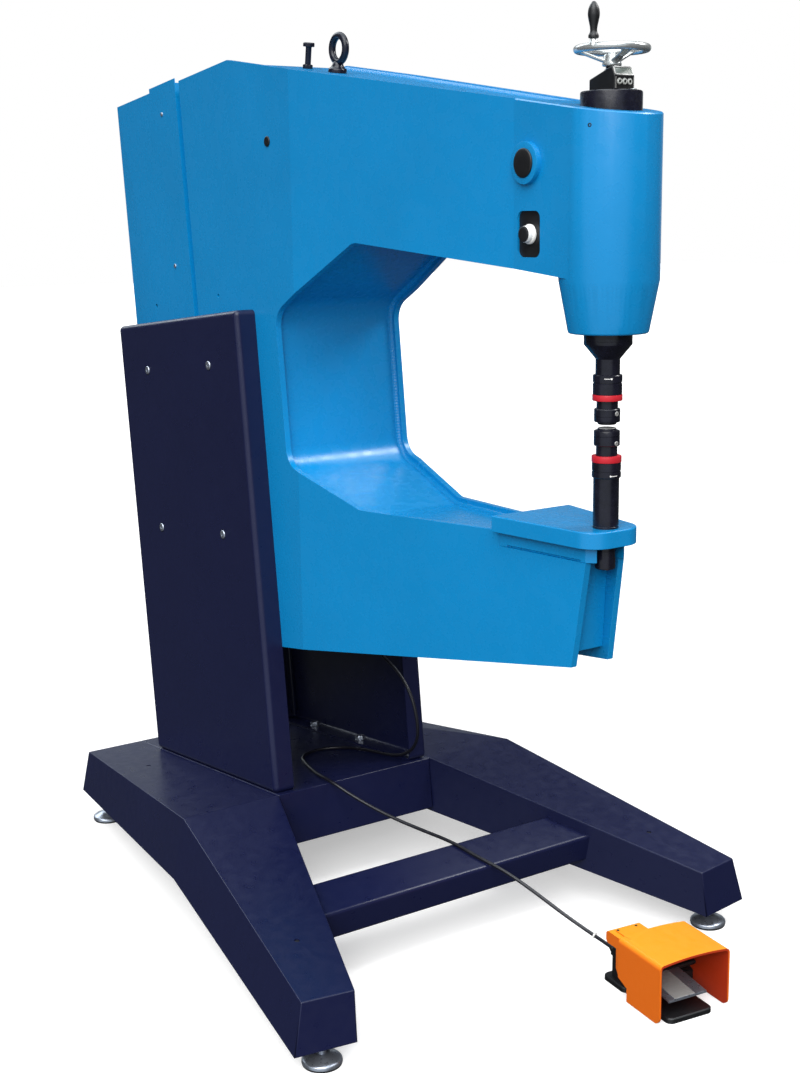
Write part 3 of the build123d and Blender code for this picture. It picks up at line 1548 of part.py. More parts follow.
with BuildPart() as driven_pulley:
    pulley_front = pulley_rear + pulley_width
    rim_inner = flywheel_radius - pulley_width / 2
    hub_outer = 2 * shaft_radius
    web_rear = pulley_rear + pulley_width / 3
    web_front = pulley_front - pulley_width / 3
    wheel_points = [
        (pulley_rear, shaft_radius + run_fit),
        (pulley_front, shaft_radius + run_fit),
        (pulley_front, hub_outer),
        (web_front, hub_outer),
        (web_front, rim_inner),
        (pulley_front, rim_inner),
        (pulley_front, flywheel_radius),
        (pulley_rear, flywheel_radius),
        (pulley_rear, rim_inner),
        (web_rear, rim_inner),
        (web_rear, hub_outer),
        (pulley_rear, hub_outer),
    ]
    revolve(outline(side, [(x, shaft_z + radius) for x, radius in wheel_points]), axis=shaft_axis)
driven_pulley.part.label = "driven_pulley"
export_step(driven_pulley.part, "parts/driven_pulley.step")

# Drive plate between the rails, motor, its pulley and the belt
motor_centre = (0, motor_z)
drive_plate_front = drive_plate_rear + plate
with BuildPart() as drive_plate:
    with BuildSketch(across(drive_plate_rear)):
        with Locations((0, (drive_plate_bottom + drive_plate_top) / 2)):
            Rectangle(2 * rail_inner, drive_plate_top - drive_plate_bottom)
        with Locations(shaft_centre):
            Circle(bearing_radius, mode=Mode.SUBTRACT)
        with Locations(motor_centre):
            Circle(motor_shaft_hole_radius, mode=Mode.SUBTRACT)
    extrude(amount=plate)
drive_plate.part.label = "drive_plate"
export_step(drive_plate.part, "parts/drive_plate.step")

with BuildPart() as motor:
    extrude(disc(across(drive_plate_front), motor_radius, centre=motor_centre), amount=motor_length)
    chamfer(motor.edges().sort_by(Axis.X)[-1], motor_edge)
    motor_bore = disc(across(drive_plate_front), motor_shaft_radius + run_fit, centre=motor_centre)
    extrude(motor_bore, amount=motor_shaft_depth + seat_gap, mode=Mode.SUBTRACT)
motor.part.label = "motor"
export_step(motor.part, "parts/motor.step")

with BuildPart() as motor_pulley:
    extrude(disc(across(pulley_rear), motor_pulley_radius, centre=motor_centre), amount=pulley_width)
    motor_shaft_end = drive_plate_front + motor_shaft_depth
    rotor = disc(across(pulley_rear), motor_shaft_radius, centre=motor_centre)
    extrude(rotor, amount=motor_shaft_end - pulley_rear)
motor_pulley.part.label = "motor_pulley"
export_step(motor_pulley.part, "parts/motor_pulley.step")


def belt_loop(plane, room):
    """Outline round both pulleys at a distance from them."""
    with BuildSketch(plane, mode=Mode.PRIVATE) as loop:
        with Locations(shaft_centre):
            Circle(flywheel_radius + room)
        with Locations(motor_centre):
            Circle(motor_pulley_radius + room)
        make_hull()
    return loop.sketch


with BuildPart() as drive_belt:
    belt_plane = across(pulley_rear + (pulley_width - belt_width) / 2)
    extrude(belt_loop(belt_plane, seat_gap + belt), amount=belt_width)
    extrude(belt_loop(belt_plane, seat_gap), amount=belt_width, mode=Mode.SUBTRACT)
drive_belt.part.label = "drive_belt"
export_step(drive_belt.part, "parts/drive_belt.step")

# Foot switch base with its toe and the rest that carries the hood
with BuildPart() as pedal_base:
    with BuildSketch(pedal_plane):
        with Locations(((base_front - base_back) / 2, (base_near + base_far) / 2)):
            RectangleRounded(base_front + base_back, base_far - base_near, base_round)
        with Locations((-(toe_back + hood_length) / 2, toe_middle)):
            RectangleRounded(toe_back - hood_length, 2 * toe_half_width, base_round)
        with Locations((-toe_back + toe_half_width, toe_middle)):
            Circle(toe_hole_radius, mode=Mode.SUBTRACT)
    extrude(amount=base_thickness)
    chamfer(pedal_base.faces().sort_by(Axis.Z)[-1].outer_wire().edges(), base_edge)
    with BuildSketch(pedal_plane.offset(base_thickness)):
        with Locations((-(body_back + gland_wall + body_core_back) / 2, gland_middle)):
            Rectangle(body_back + gland_wall - body_core_back, 2 * gland_nut_radius)
    extrude(amount=gland_z + gland_nut_radius - base_thickness)
    rest_points = [
        (-hood_foot_length, base_thickness),
        (-hood_foot_length, hood_foot_height),
        (-hood_length, body_foot),
        (-body_core_back, body_foot + body_round),
        (-body_core_back, base_thickness),
    ]
    rest_side = pedal_side.offset(-(base_near + body_far) / 2)
    extrude(outline(rest_side, rest_points), amount=(body_far - base_near) / 2, both=True)
    gland_hole = disc(pedal_front.offset(-body_back), cable_radius + cable_room, 0, (gland_middle, gland_z))
    extrude(gland_hole, amount=-2 * gland_wall, mode=Mode.SUBTRACT)
pedal_base.part.label = "pedal_base"
export_step(pedal_base.part, "parts/pedal_base.step")

# Hood: crowned cover open in front and below, with the switch body behind it
with BuildPart() as pedal_hood:
    for wall in (0, hood_wall):
        half = hood_half_width - wall
        crown = hood_height - wall
        with BuildSketch(pedal_front.offset(-hood_length + wall)) as hood_section:
            with BuildLine():
                eaves = crown - hood_rise
                Polyline((-half, eaves), (-half, hood_clearance), (half, hood_clearance), (half, eaves))
                ThreePointArc((half, eaves), (0, crown), (-half, eaves))
            make_face()
            fillet(hood_section.vertices().group_by(Axis.Y)[-1], hood_round - wall)
        extrude(amount=hood_length, mode=Mode.ADD if wall == 0 else Mode.SUBTRACT)
    rear_foot = [
        (-hood_length, 0),
        (-hood_foot_length, 0),
        (-hood_foot_length, hood_foot_height),
        (-hood_length, body_foot),
    ]
    extrude(outline(pedal_side, rear_foot), amount=hood_half_width, both=True, mode=Mode.SUBTRACT)
    front_feet = pedal_hood.edges().filter_by(Axis((0, 0, 0), pedal_plane.y_dir)).group_by(Axis.Z)[0]
    fillet(front_feet.sort_by(Axis((0, 0, 0), pedal_plane.x_dir))[-2:], hood_front_round)
    body_top = hood_height - hood_rise
    body_middle = -(body_near + body_far) / 2
    body_half = (body_far - body_near) / 2
    with BuildSketch(pedal_side.offset(body_middle)) as body_side:
        with BuildLine():
            Polyline(
                (-hood_length, body_foot),
                (-body_core_back, body_foot + body_round),
                (-body_core_back, body_top - body_cap),
                (-body_back, body_top - body_cap),
                (-body_back, body_top),
                (-hood_length, body_top),
                close=True,
            )
        make_face()
        fillet(body_side.vertices().group_by(Axis.X)[0], body_round / 2)
    extrude(amount=body_half, both=True)
    with BuildSketch(pedal_plane.offset(body_top)):
        with Locations((-body_back + lid_inset + lid_length / 2, -body_middle)):
            RectangleRounded(lid_length, 2 * (body_half - lid_inset), lid_rise)
    extrude(amount=lid_rise)
    pivot = disc(pedal_side, pedal_pin_radius + run_fit, centre=(-treadle_back, treadle_z))
    pivot_half = hood_half_width - hood_wall / 2
    extrude(pivot, amount=pivot_half, both=True, mode=Mode.SUBTRACT)
pedal_hood.part.label = "pedal_hood"
export_step(pedal_hood.part, "parts/pedal_hood.step")

# Treadle with a raised tread, on a pivot rod held in the hood's walls
with BuildPart() as pedal_plate:
    treadle_fall = tan(radians(treadle_slope)) * (treadle_back - treadle_front)
    front_z = treadle_z - treadle_fall
    treadle_points = [
        (-treadle_back, treadle_z + treadle_plate / 2),
        (-treadle_front, front_z + treadle_plate / 2),
        (-treadle_front, front_z - treadle_lip),
        (-treadle_front - treadle_plate, front_z - treadle_lip),
        (-treadle_front - treadle_plate, front_z - treadle_plate / 2),
        (-treadle_back, treadle_z - treadle_plate / 2),
    ]
    treadle_middle = -(treadle_near + treadle_far) / 2
    treadle_half = (treadle_far - treadle_near) / 2
    extrude(outline(pedal_side.offset(treadle_middle), treadle_points), amount=treadle_half, both=True)
    pivot_rod = disc(pedal_side, pedal_pin_radius, centre=(-treadle_back, treadle_z))
    extrude(pivot_rod, amount=pivot_half - run_fit, both=True)
    treadle_top = Plane(
        origin=pedal_plane.from_local_coords((-treadle_front, -treadle_middle, front_z + treadle_plate / 2)),
        x_dir=pedal_plane.from_local_coords((-1, 0, tan(radians(treadle_slope)))) - pedal_plane.origin,
        z_dir=pedal_plane.from_local_coords((tan(radians(treadle_slope)), 0, 1)) - pedal_plane.origin,
    )
    tread_length = (treadle_back - treadle_front) / cos(radians(treadle_slope)) - tread_inset
    tread_width = 2 * treadle_half - tread_near - tread_far
    with BuildSketch(treadle_top.offset(-tread_rise)):
        with Locations((tread_length / 2, (tread_far - tread_near) / 2)):
            Rectangle(tread_length, tread_width)
    extrude(amount=2 * tread_rise)
pedal_plate.part.label = "pedal_plate"
export_step(pedal_plate.part, "parts/pedal_plate.step")

# Cable gland on the back of the switch
gland_back = body_back + gland_wall
with BuildPart() as cable_gland:
    gland_face = pedal_front.offset(-gland_back)
    gland_place = (gland_middle, gland_z)
    extrude(hexagon(gland_face, gland_nut_radius, cable_radius + cable_room, gland_place), amount=-gland_nut)
    extrude(disc(gland_face, gland_radius, cable_radius + cable_room, gland_place), amount=-gland_length)
cable_gland.part.label = "cable_gland"
export_step(cable_gland.part, "parts/cable_gland.step")

# Foot cable: straight runs joined by tangent bends
gland_exit = pedal_plane.from_local_coords((-gland_back - gland_length - gland_lead, gland_middle, gland_z))
gland_entry = pedal_plane.from_local_coords((-gland_back, gland_middle, gland_z))
frame_exit = Vector(tool_x + cable_hole_x, cable_hole_left, cable_hole_z - web / 2)
frame_lead = frame_exit - Vector(0, 0, cable_lead)
cable_way = [Vector(tool_x + x, y, z) for x, y, z in cable_points]
cable_path_points = [frame_exit, frame_lead, *cable_way, gland_exit, gland_entry]
bend_radii = []
for before, here, after in zip(cable_path_points, cable_path_points[1:], cable_path_points[2:]):
    run_in = here - before
    run_out = after - here
    cosine = run_in.dot(run_out) / (run_in.length * run_out.length)
    half_turn = acos(min(1.0, cosine)) / 2
    bend_radii.append(bend_share * min(run_in.length, run_out.length) / tan(half_turn))
with BuildPart() as foot_cable:
    with BuildLine():
        cable_route = FilletPolyline(*cable_path_points, radius=bend_radii)
    with BuildSketch(Plane(origin=cable_route @ 0, z_dir=cable_route % 0)):
        Circle(cable_radius)
    sweep()
foot_cable.part.label = "foot_cable"
export_step(foot_cable.part, "parts/foot_cable.step")
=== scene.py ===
import json
from math import atan2, cos, pi, radians, sin, tan

import bmesh
import bpy
import numpy as np
from bpy.props import FloatProperty, FloatVectorProperty, PointerProperty
from mathutils import Matrix, Vector


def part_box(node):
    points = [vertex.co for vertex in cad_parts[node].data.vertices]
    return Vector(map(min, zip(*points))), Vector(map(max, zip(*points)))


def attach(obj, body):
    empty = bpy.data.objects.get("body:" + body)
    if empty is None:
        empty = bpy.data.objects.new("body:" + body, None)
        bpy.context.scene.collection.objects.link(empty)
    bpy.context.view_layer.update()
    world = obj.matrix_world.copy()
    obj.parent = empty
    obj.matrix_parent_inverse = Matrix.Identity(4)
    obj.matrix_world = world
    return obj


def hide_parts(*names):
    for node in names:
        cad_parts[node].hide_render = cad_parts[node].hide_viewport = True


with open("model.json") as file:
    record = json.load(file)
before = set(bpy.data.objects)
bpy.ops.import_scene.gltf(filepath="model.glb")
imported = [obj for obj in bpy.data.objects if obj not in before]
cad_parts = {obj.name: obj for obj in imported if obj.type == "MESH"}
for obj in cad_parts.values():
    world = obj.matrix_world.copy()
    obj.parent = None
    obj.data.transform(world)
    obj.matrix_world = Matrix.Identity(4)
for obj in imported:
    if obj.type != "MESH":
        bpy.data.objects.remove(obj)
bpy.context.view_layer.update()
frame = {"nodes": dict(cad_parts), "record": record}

bl_info = {
    "name": "Forming machine dressing",
    "version": (1, 0, 0),
    "blender": (4, 5, 0),
    "location": "3D View > Sidebar > Former",
    "description": "Paint, fittings, cable and studio for the sheet metal forming machine",
    "category": "Object",
}

BODY_OF = {node: body for body, nodes in frame["record"]["behaviour"]["bodies"].items() for node in nodes}
MM = 0.001
UP = np.array((0.0, 0.0, 1.0))
FORWARD = np.array((1.0, 0.0, 0.0))
LEFT = np.array((0.0, 1.0, 0.0))


def middle(node):
    """Centre of a node's box at rest, in millimetres."""
    low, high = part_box(node)
    return np.array((low + high) / 2) / MM


# Sizes shared with the CAD source, in millimetres, with places given from the tool axis

TOOL_X = float(middle("guide_bush")[0])
RAM_TOP = float(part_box("ram")[1][2]) / MM
POST_FOOT = float(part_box("tool_post")[0][2]) / MM

LEAN = radians(6.1)
COLUMN_AHEAD = np.array((cos(LEAN), 0.0, sin(LEAN)))
COLUMN_UP = np.array((-sin(LEAN), 0.0, cos(LEAN)))
THROAT = (-800.0, 1066.0)
PLATE = 12.0
FRAME_HALF = 146.0
BEND_X = -740.0
SEAM_X = -140.0
LINER_INSET = 14.0
WEB_INSET = 6.0
UPPER_TURN = atan2(67.5, 600.0)
LOWER_TURN = atan2(104.0, 740.0)
APEX_X = -981.1
APEX_LEVEL = 1706.4
TOP_SLOPE = radians(8.66)
TOP_AHEAD = np.array((cos(TOP_SLOPE), 0.0, -sin(TOP_SLOPE)))
TOP_NORMAL = np.array((sin(TOP_SLOPE), 0.0, cos(TOP_SLOPE)))

HEAD_TOP = 1535.0
COLLAR_TOP = 1581.5
RAM_END = 1117.8
UPPER_RING = (1103.8, 1113.5)
UPPER_FACE = 1065.0
LOWER_FACE = 1060.2
LOWER_RING = (1004.2, 1014.8)
POST_TOP = 999.9
SHANK = 30.0
SHANK_RADIUS = 10.0
SHANK_BORE = 10.05

PEDAL_PLACE = (64.0, 167.0)
PEDAL_TURN = radians(-6.8)
PEDAL_AHEAD = np.array((cos(PEDAL_TURN), sin(PEDAL_TURN), 0.0))
PEDAL_LEFT = np.array((-sin(PEDAL_TURN), cos(PEDAL_TURN), 0.0))
TREADLE_SLOPE = radians(6.0)


def at(x, y, z):
    """A point given from the tool axis, in millimetres of the machine's frame."""
    return np.array((TOOL_X + x, y, z))


def column(ahead, up, left=0.0):
    """A point of the leaning column, given from the middle of the throat wall."""
    return at(THROAT[0], left, THROAT[1]) + ahead * COLUMN_AHEAD + up * COLUMN_UP


def pedal(ahead, left, up):
    """A point of the foot switch's own frame, which starts at the middle of the hood's front foot."""
    return at(*PEDAL_PLACE, 0) + ahead * PEDAL_AHEAD + left * PEDAL_LEFT + up * UP


def top_edge(x):
    """Level of the side plates' top edge, which falls evenly from its apex towards the tool."""
    return APEX_LEVEL - (x - APEX_X) * tan(TOP_SLOPE)


AXIS = at(0, 0, 0)

# Mesh helpers

HEAD_STEPS = 48
KNURL_STEPS = 288


def full_turn(steps):
    """Even angles once round a circle."""
    return np.linspace(0, 2 * pi, steps, endpoint=False)


def bearing(turn, u, v):
    """Directions at some angles in the plane of u and v: cosine along u plus sine along v."""
    turn = np.asarray(turn)[..., None]
    return np.cos(turn) * u + np.sin(turn) * v


def quads(rows, columns, wrap_rows=False, wrap_columns=False):
    """Corner numbers of the quads on a grid of rows by columns, joined round where asked."""
    row = np.arange(rows if wrap_rows else rows - 1)
    place = np.arange(columns if wrap_columns else columns - 1)
    r, c = np.meshgrid(row, place, indexing="ij")
    r2, c2 = (r + 1) % rows, (c + 1) % columns
    corners = (r * columns + c, r * columns + c2, r2 * columns + c2, r2 * columns + c)
    return np.stack(corners, -1).reshape(-1, 4)


def square_to(axis):
    """Two directions square to an axis and to each other, and the axis at unit length."""
    axis = np.asarray(axis, float) / np.linalg.norm(axis)
    start = UP if abs(axis[2]) < 0.9 else FORWARD
    first = np.cross(start, axis)
    first /= np.linalg.norm(first)
    return first, np.cross(axis, first), axis


class Shape:
    """Points and faces gathered for one piece, in millimetres."""

    def __init__(self):
        self.points, self.faces, self.count = [], [], 0

    def grid(self, points, wrap_rows=False, wrap_columns=False, caps=False):
        """Add a surface given as rows by columns of points; caps close the first and last row."""
        rows, columns = points.shape[:2]
        self.faces += (quads(rows, columns, wrap_rows, wrap_columns) + self.count).tolist()
        if caps:
            first = np.arange(columns) + self.count
            self.faces += [first[::-1].tolist(), (first + (rows - 1) * columns).tolist()]
        self.points.append(points.reshape(-1, 3))
        self.count += rows * columns
        return self

    def stack(self, radii, heights, origin, axis=UP, bore=False):
        """Outlines stacked along an axis: radius by row and by turn, height by row."""
        radii = np.asarray(radii, float)
        heights = np.asarray(heights, float).reshape(len(radii), -1, 1)
        u, v, along = square_to(axis)
        outwards = bearing(full_turn(radii.shape[1]), u, v)
        points = np.asarray(origin) + radii[..., None] * outwards + heights * along
        return self.grid(points, wrap_rows=bore, wrap_columns=True, caps=not bore)

    def lathe(self, profile, origin, axis=UP, turns=64, bore=False):
        """A profile of radius and height turned round an axis; a bored one is a closed section."""
        profile = np.asarray(profile, float)
        return self.stack(np.repeat(profile[:, :1], turns, 1), profile[:, 1], origin, axis, bore=bore)

    def hoop(self, centre, radius, thickness, u, v, axis, turns, sides):
        """A ring of round section: a circle in the plane of u and v carries one that stands square to it."""
        outwards = bearing(full_turn(turns), u, v)[:, None]
        turn = full_turn(sides)[None, :, None]
        section = np.cos(turn) * outwards + np.sin(turn) * axis
        return self.grid(centre + radius * outwards + thickness * section, wrap_rows=True, wrap_columns=True)

    def prism(self, outline, origin, u, v, depth):
        """A flat outline in the plane of u and v, carried square to it over a depth."""
        flat = np.asarray(origin) + outline[:, :1] * u + outline[:, 1:] * v
        return self.grid(np.stack((flat, flat + depth * np.cross(u, v))), wrap_columns=True, caps=True)

    def build(self, name, finish, body, smooth=40.0, *replaces):
        """Make the object from what was gathered."""
        mesh = bpy.data.meshes.new(name)
        mesh.from_pydata((np.concatenate(self.points) * MM).tolist(), [], self.faces)
        return finished(name, mesh, finish, body, smooth, replaces)


def finished(name, mesh, finish, body, smooth, replaces):
    """Merge a mesh's doubles, turn its faces outwards, shade it and make it ride on a body."""
    work = bmesh.new()
    work.from_mesh(mesh)
    bmesh.ops.remove_doubles(work, verts=work.verts, dist=1e-6)
    bmesh.ops.recalc_face_normals(work, faces=work.faces)
    work.to_mesh(mesh)
    work.free()
    mesh.shade_smooth()
    mesh.set_sharp_from_angle(angle=radians(smooth))
    mesh.materials.clear()
    mesh.materials.append(FINISH[finish])
    piece = bpy.data.objects.new(name, mesh)
    bpy.context.scene.collection.objects.link(piece)
    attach(piece, body)
    if replaces:
        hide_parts(*replaces)
    return piece


def bevelled(piece, width, segments=3, angle=35.0, limit="ANGLE"):
    """Round a piece's sharp edges, or its weighted ones, by a width in millimetres."""
    bevel = piece.modifiers.new("rounded_edges", "BEVEL")
    bevel.width = width * MM
    bevel.segments = segments
    bevel.limit_method = limit
    bevel.angle_limit = radians(angle)
    bevel.harden_normals = True
    return piece


def weigh_edges(work, angle, shortest):
    """Mark for the bevel the outer edges over an angle that meet no edge under a length in millimetres."""
    weight = work.edges.layers.float.new("bevel_weight_edge")
    for edge in work.edges:
        sharp = edge.is_convex and edge.calc_face_angle(0.0) > radians(angle)
        meeting = [other.calc_length() for end in edge.verts for other in end.link_edges]
        edge[weight] = 1.0 if sharp and min(meeting) > shortest * MM else 0.0


def softened(node, width, finish, segments=3, angle=35.0, shortest=0.0):
    """A merged copy of a CAD node with rounded edges, which stands for the node.

    With a shortest length, only outer edges are rounded, and only where none that meets them is shorter.
    """
    mesh = frame["nodes"][node].data.copy()
    work = bmesh.new()
    work.from_mesh(mesh)
    bmesh.ops.remove_doubles(work, verts=work.verts, dist=1e-5)
    bmesh.ops.dissolve_limit(work, angle_limit=radians(0.5), verts=work.verts, edges=work.edges)
    if shortest:
        weigh_edges(work, angle, shortest)
    work.to_mesh(mesh)
    work.free()
    piece = finished(node + "_finished", mesh, finish, BODY_OF[node], 30.0, (node,))
    return bevelled(piece, width, segments, angle, "WEIGHT" if shortest else "ANGLE")


def rounded(points, radii):
    """A chain of points in the side view with its inner corners rounded by tangent arcs."""
    points = [np.array(p, float) for p in points]
    made = [points[0][None]]
    for before, here, after, radius in zip(points, points[1:], points[2:], radii):
        way_in = (here - before) / np.linalg.norm(here - before)
        way_out = (after - here) / np.linalg.norm(after - here)
        turn = atan2(way_in[0] * way_out[1] - way_in[1] * way_out[0], way_in @ way_out)
        setback = radius * tan(abs(turn) / 2)
        hand = 1.0 if turn > 0 else -1.0
        normal = hand * np.array((-way_in[1], way_in[0]))
        centre = here - setback * way_in + radius * normal
        sweep = np.linspace(0, turn, max(6, int(abs(turn) * 14)))
        made.append(centre + radius * bearing(sweep, -normal, np.array((normal[1], -normal[0]))))
    made.append(points[-1][None])
    return np.concatenate(made)


def evenly(path, step):
    """Points at an even step along a path, and how far along it each lies."""
    run = np.concatenate(([0], np.cumsum(np.linalg.norm(np.diff(path, axis=0), axis=1))))
    wanted = np.linspace(0, run[-1], max(2, int(run[-1] / step)))
    return np.stack([np.interp(wanted, run, path[:, i]) for i in range(path.shape[1])], -1), wanted


def smoothed(points, count):
    """A smooth line through a few points: each span is the cubic that keeps its neighbours' slope."""
    points = np.asarray(points, float)
    padded = np.concatenate((2 * points[:1] - points[1:2], points, 2 * points[-1:] - points[-2:-1]))
    span, share = np.divmod(np.linspace(0, len(points) - 1, count), 1.0)
    span = np.minimum(span.astype(int), len(points) - 2)
    t = np.where(np.arange(count) == count - 1, 1.0, share)[:, None]
    a, b, c, d = (padded[span + k] for k in range(4))
    return b + t / 2 * (c - a + t * (2 * a - 5 * b + 4 * c - d + t * (3 * (b - c) + d - a)))


def hexagon(across):
    """Radius of a hexagon by turn, given its width across flats."""
    return across / 2 / np.cos((full_turn(HEAD_STEPS) + pi / 6) % (pi / 3) - pi / 6)


def knurled(radius, depth, count, pitch, heights):
    """A diamond knurl: two crossed families of helical ridges added to a radius."""
    turn = np.linspace(0, 1, KNURL_STEPS, endpoint=False)[None] * count
    rise = np.asarray(heights)[:, None] / pitch
    ridge = np.abs((turn + rise) % 1 - 0.5) + np.abs((turn - rise) % 1 - 0.5)
    return radius - depth * ridge


def rounded_rectangle(width, height, radius, steps):
    """Points of a rectangle with round corners, about its middle: four quarter circles."""
    arc = bearing(np.linspace(0, pi / 2, steps), np.array((1.0, 0.0)), np.array((0.0, 1.0))) * radius
    back = arc[:, ::-1]
    w, h = width / 2 - radius, height / 2 - radius
    return np.concatenate((arc + (w, h), back * (-1, 1) + (-w, h), -arc + (-w, -h), back * (1, -1) + (w, -h)))


# Finishes


class Nodes:
    """Shader nodes of a material or of the world."""

    def __init__(self, tree):
        self.tree = tree

    def node(self, kind, **inputs):
        """A shader node with some of its inputs set or linked."""
        made = self.tree.nodes.new("ShaderNode" + kind)
        for key, value in inputs.items():
            self.put(made.inputs[key.replace("_", " ")], value)
        return made

    def put(self, socket, value):
        """Set a socket, or link an output to it."""
        if isinstance(value, bpy.types.NodeSocket):
            self.tree.links.new(value, socket)
        else:
            socket.default_value = value

    def between(self, value, low, high, start=0.3, end=0.7):
        """A value mapped from start and end to low and high, and held outside them."""
        names = {"Value": value, "From_Min": start, "From_Max": end, "To_Min": low, "To_Max": high}
        return self.node("MapRange", **names).outputs[0]

    def paired(self, operation, first, second):
        """Two values added or multiplied."""
        made = self.node("Math")
        made.operation = operation
        for socket, value in zip(made.inputs, (first, second)):
            self.put(socket, value)
        return made.outputs[0]

    def reach(self, way, direction):
        """How far a way goes along a direction: their dot product."""
        made = self.node("VectorMath", Vector=way)
        made.operation = "DOT_PRODUCT"
        made.inputs[1].default_value = direction
        return made.outputs["Value"]


class Finish(Nodes):
    """A procedural material on Object coordinates."""

    def __init__(self, name, colour, roughness, metallic=0.0, coat=0.0, specular=0.5):
        self.material = bpy.data.materials.new(name)
        self.material.use_nodes = True
        super().__init__(self.material.node_tree)
        self.shader = self.tree.nodes["Principled BSDF"]
        values = {"Base Color": (*colour, 1), "Roughness": roughness, "Metallic": metallic}
        values |= {"Coat Weight": coat, "Specular IOR Level": specular}
        for key, value in values.items():
            self.shader.inputs[key].default_value = value
        self.place = self.node("TexCoord").outputs["Object"]
        self.normal = None

    def noise(self, scale, detail=2.0, stretch=(1.0, 1.0, 1.0)):
        """Cloudy noise with a scale in waves to the metre."""
        place = self.node("Mapping", Vector=self.place, Scale=stretch).outputs[0]
        return self.node("TexNoise", Vector=place, Scale=scale, Detail=detail).outputs["Fac"]

    def away_from(self, origin):
        """The way from an origin to a point of the surface, in metres."""
        made = self.node("VectorMath", Vector=self.place)
        made.operation = "SUBTRACT"
        made.inputs[1].default_value = origin
        return made.outputs[0]

    def blend(self, value, first, second):
        """Base colour that goes from one colour to another as a value goes from nought to one."""
        mix = self.node("Mix")
        mix.data_type = "RGBA"
        for number, source in ((0, value), (6, first), (7, second)):
            self.put(mix.inputs[number], source)
        self.put(self.shader.inputs["Base Color"], mix.outputs[2])

    def mottle(self, value, dark, light):
        """Base colour between two shades."""
        self.blend(value, (*dark, 1), (*light, 1))

    def overlay(self, value, colour):
        """A colour laid over the base colour where a value is one."""
        self.blend(value, self.shader.inputs["Base Color"].links[0].from_socket, (*colour, 1))

    def sheen_of(self, value, low, high):
        """Roughness between two values."""
        self.put(self.shader.inputs["Roughness"], self.between(value, low, high))

    def bump(self, height, distance, strength):
        """Raise the surface by a height pattern, over any pattern before it."""
        made = self.node("Bump", Height=height, Distance=distance, Strength=strength)
        if self.normal:
            self.put(made.inputs["Normal"], self.normal)
        self.normal = made.outputs[0]
        self.put(self.shader.inputs["Normal"], self.normal)


def shade(colour, factor):
    """A colour made lighter or darker."""
    return tuple(min(1.0, c * factor) for c in colour)


def textured_paint(name, colour, rough, gloss):
    """Satin paint with orange peel, fine grain and slow changes of shade."""
    paint = Finish(name, colour, rough, specular=gloss)
    cloud = paint.between(paint.noise(5.0, 4.0), 0.0, 1.0)
    paint.mottle(cloud, shade(colour, 0.96), shade(colour, 1.04))
    paint.sheen_of(paint.noise(45.0, 3.0), rough - 0.05, rough + 0.06)
    paint.bump(paint.noise(330.0, 3.0), 0.0006, 0.2)
    paint.bump(paint.noise(1500.0, 2.0), 0.0002, 0.15)
    return paint.material


def bright_metal(name, colour, rough, polish):
    """Bare or plated metal with smudges and a fine grain; the duller the polish, the paler its own grey."""
    metal = Finish(name, colour, rough, metallic=polish)
    metal.sheen_of(metal.noise(120.0, 4.0), rough * 0.8, rough * 1.35)
    metal.mottle(metal.between(metal.noise(35.0, 3.0), 0.0, 1.0), shade(colour, 0.9), colour)
    metal.bump(metal.noise(1800.0, 1.0), 0.00005, 0.12)
    return metal.material


def black_metal(name, colour, rough):
    """Blackened steel with turning marks round the tool axis and rubbed patches."""
    metal = Finish(name, colour, rough, specular=0.36)
    metal.mottle(metal.between(metal.noise(60.0, 4.0), 0.0, 1.0), shade(colour, 0.7), shade(colour, 1.4))
    metal.sheen_of(metal.noise(150.0, 3.0), rough - 0.07, rough + 0.1)
    metal.bump(metal.noise(300.0, 2.0, (0.05, 0.05, 6.0)), 0.0001, 0.35)
    return metal.material


def grained(plastic, rough, grain):
    """Uneven gloss and a fine spark-eroded grain on a plastic."""
    plastic.sheen_of(plastic.noise(70.0, 3.0), rough - 0.06, rough + 0.08)
    plastic.bump(plastic.noise(grain, 2.0), 0.0002, 0.3)


def moulded(name, colour, rough, grain=900.0):
    """Moulded plastic with slow changes of shade."""
    plastic = Finish(name, colour, rough, specular=0.45)
    cloud = plastic.between(plastic.noise(14.0, 3.0), 0.0, 1.0)
    plastic.mottle(cloud, shade(colour, 0.94), shade(colour, 1.05))
    grained(plastic, rough, grain)
    return plastic.material


# Inner faces of the hood, where shade is painted: a direction, and where the painted shade starts and is full
# along it
HOOD_SHADE_INSIDE = (
    (PEDAL_LEFT, -73.5, -72.9),
    (-PEDAL_LEFT, -73.5, -72.9),
    (PEDAL_AHEAD, -121.5, -121.0),
)


def lit_and_shaded_hood(name, colour, top, inner, rough):
    """Hood plastic with painted light and shade: paler where it faces up, which is painted top light, and
    redder within, which is painted shade; it goes by lean and by place.
    """
    plastic = Finish(name, colour, rough, specular=0.45)
    lean = plastic.node("SeparateXYZ", Vector=plastic.node("NewGeometry").outputs["Normal"]).outputs["Z"]
    # Painted light: the paler top colour is laid on where the surface faces up.
    plastic.mottle(plastic.between(lean, 0.0, 1.0, 0.2, 0.95), colour, top)
    # Painted shade: the hood's inner faces are laid over with a darker, redder orange.
    painted_shade = plastic.between(lean, 1.0, 0.0, 0.3, 0.5)
    way = plastic.away_from(pedal(0, 0, 0) * MM)
    for direction, start, full in HOOD_SHADE_INSIDE:
        near = plastic.between(plastic.reach(way, direction), 0.0, 1.0, start * MM, full * MM)
        painted_shade = plastic.paired("MULTIPLY", painted_shade, near)
    plastic.overlay(painted_shade, inner)
    grained(plastic, rough, 900.0)
    return plastic.material


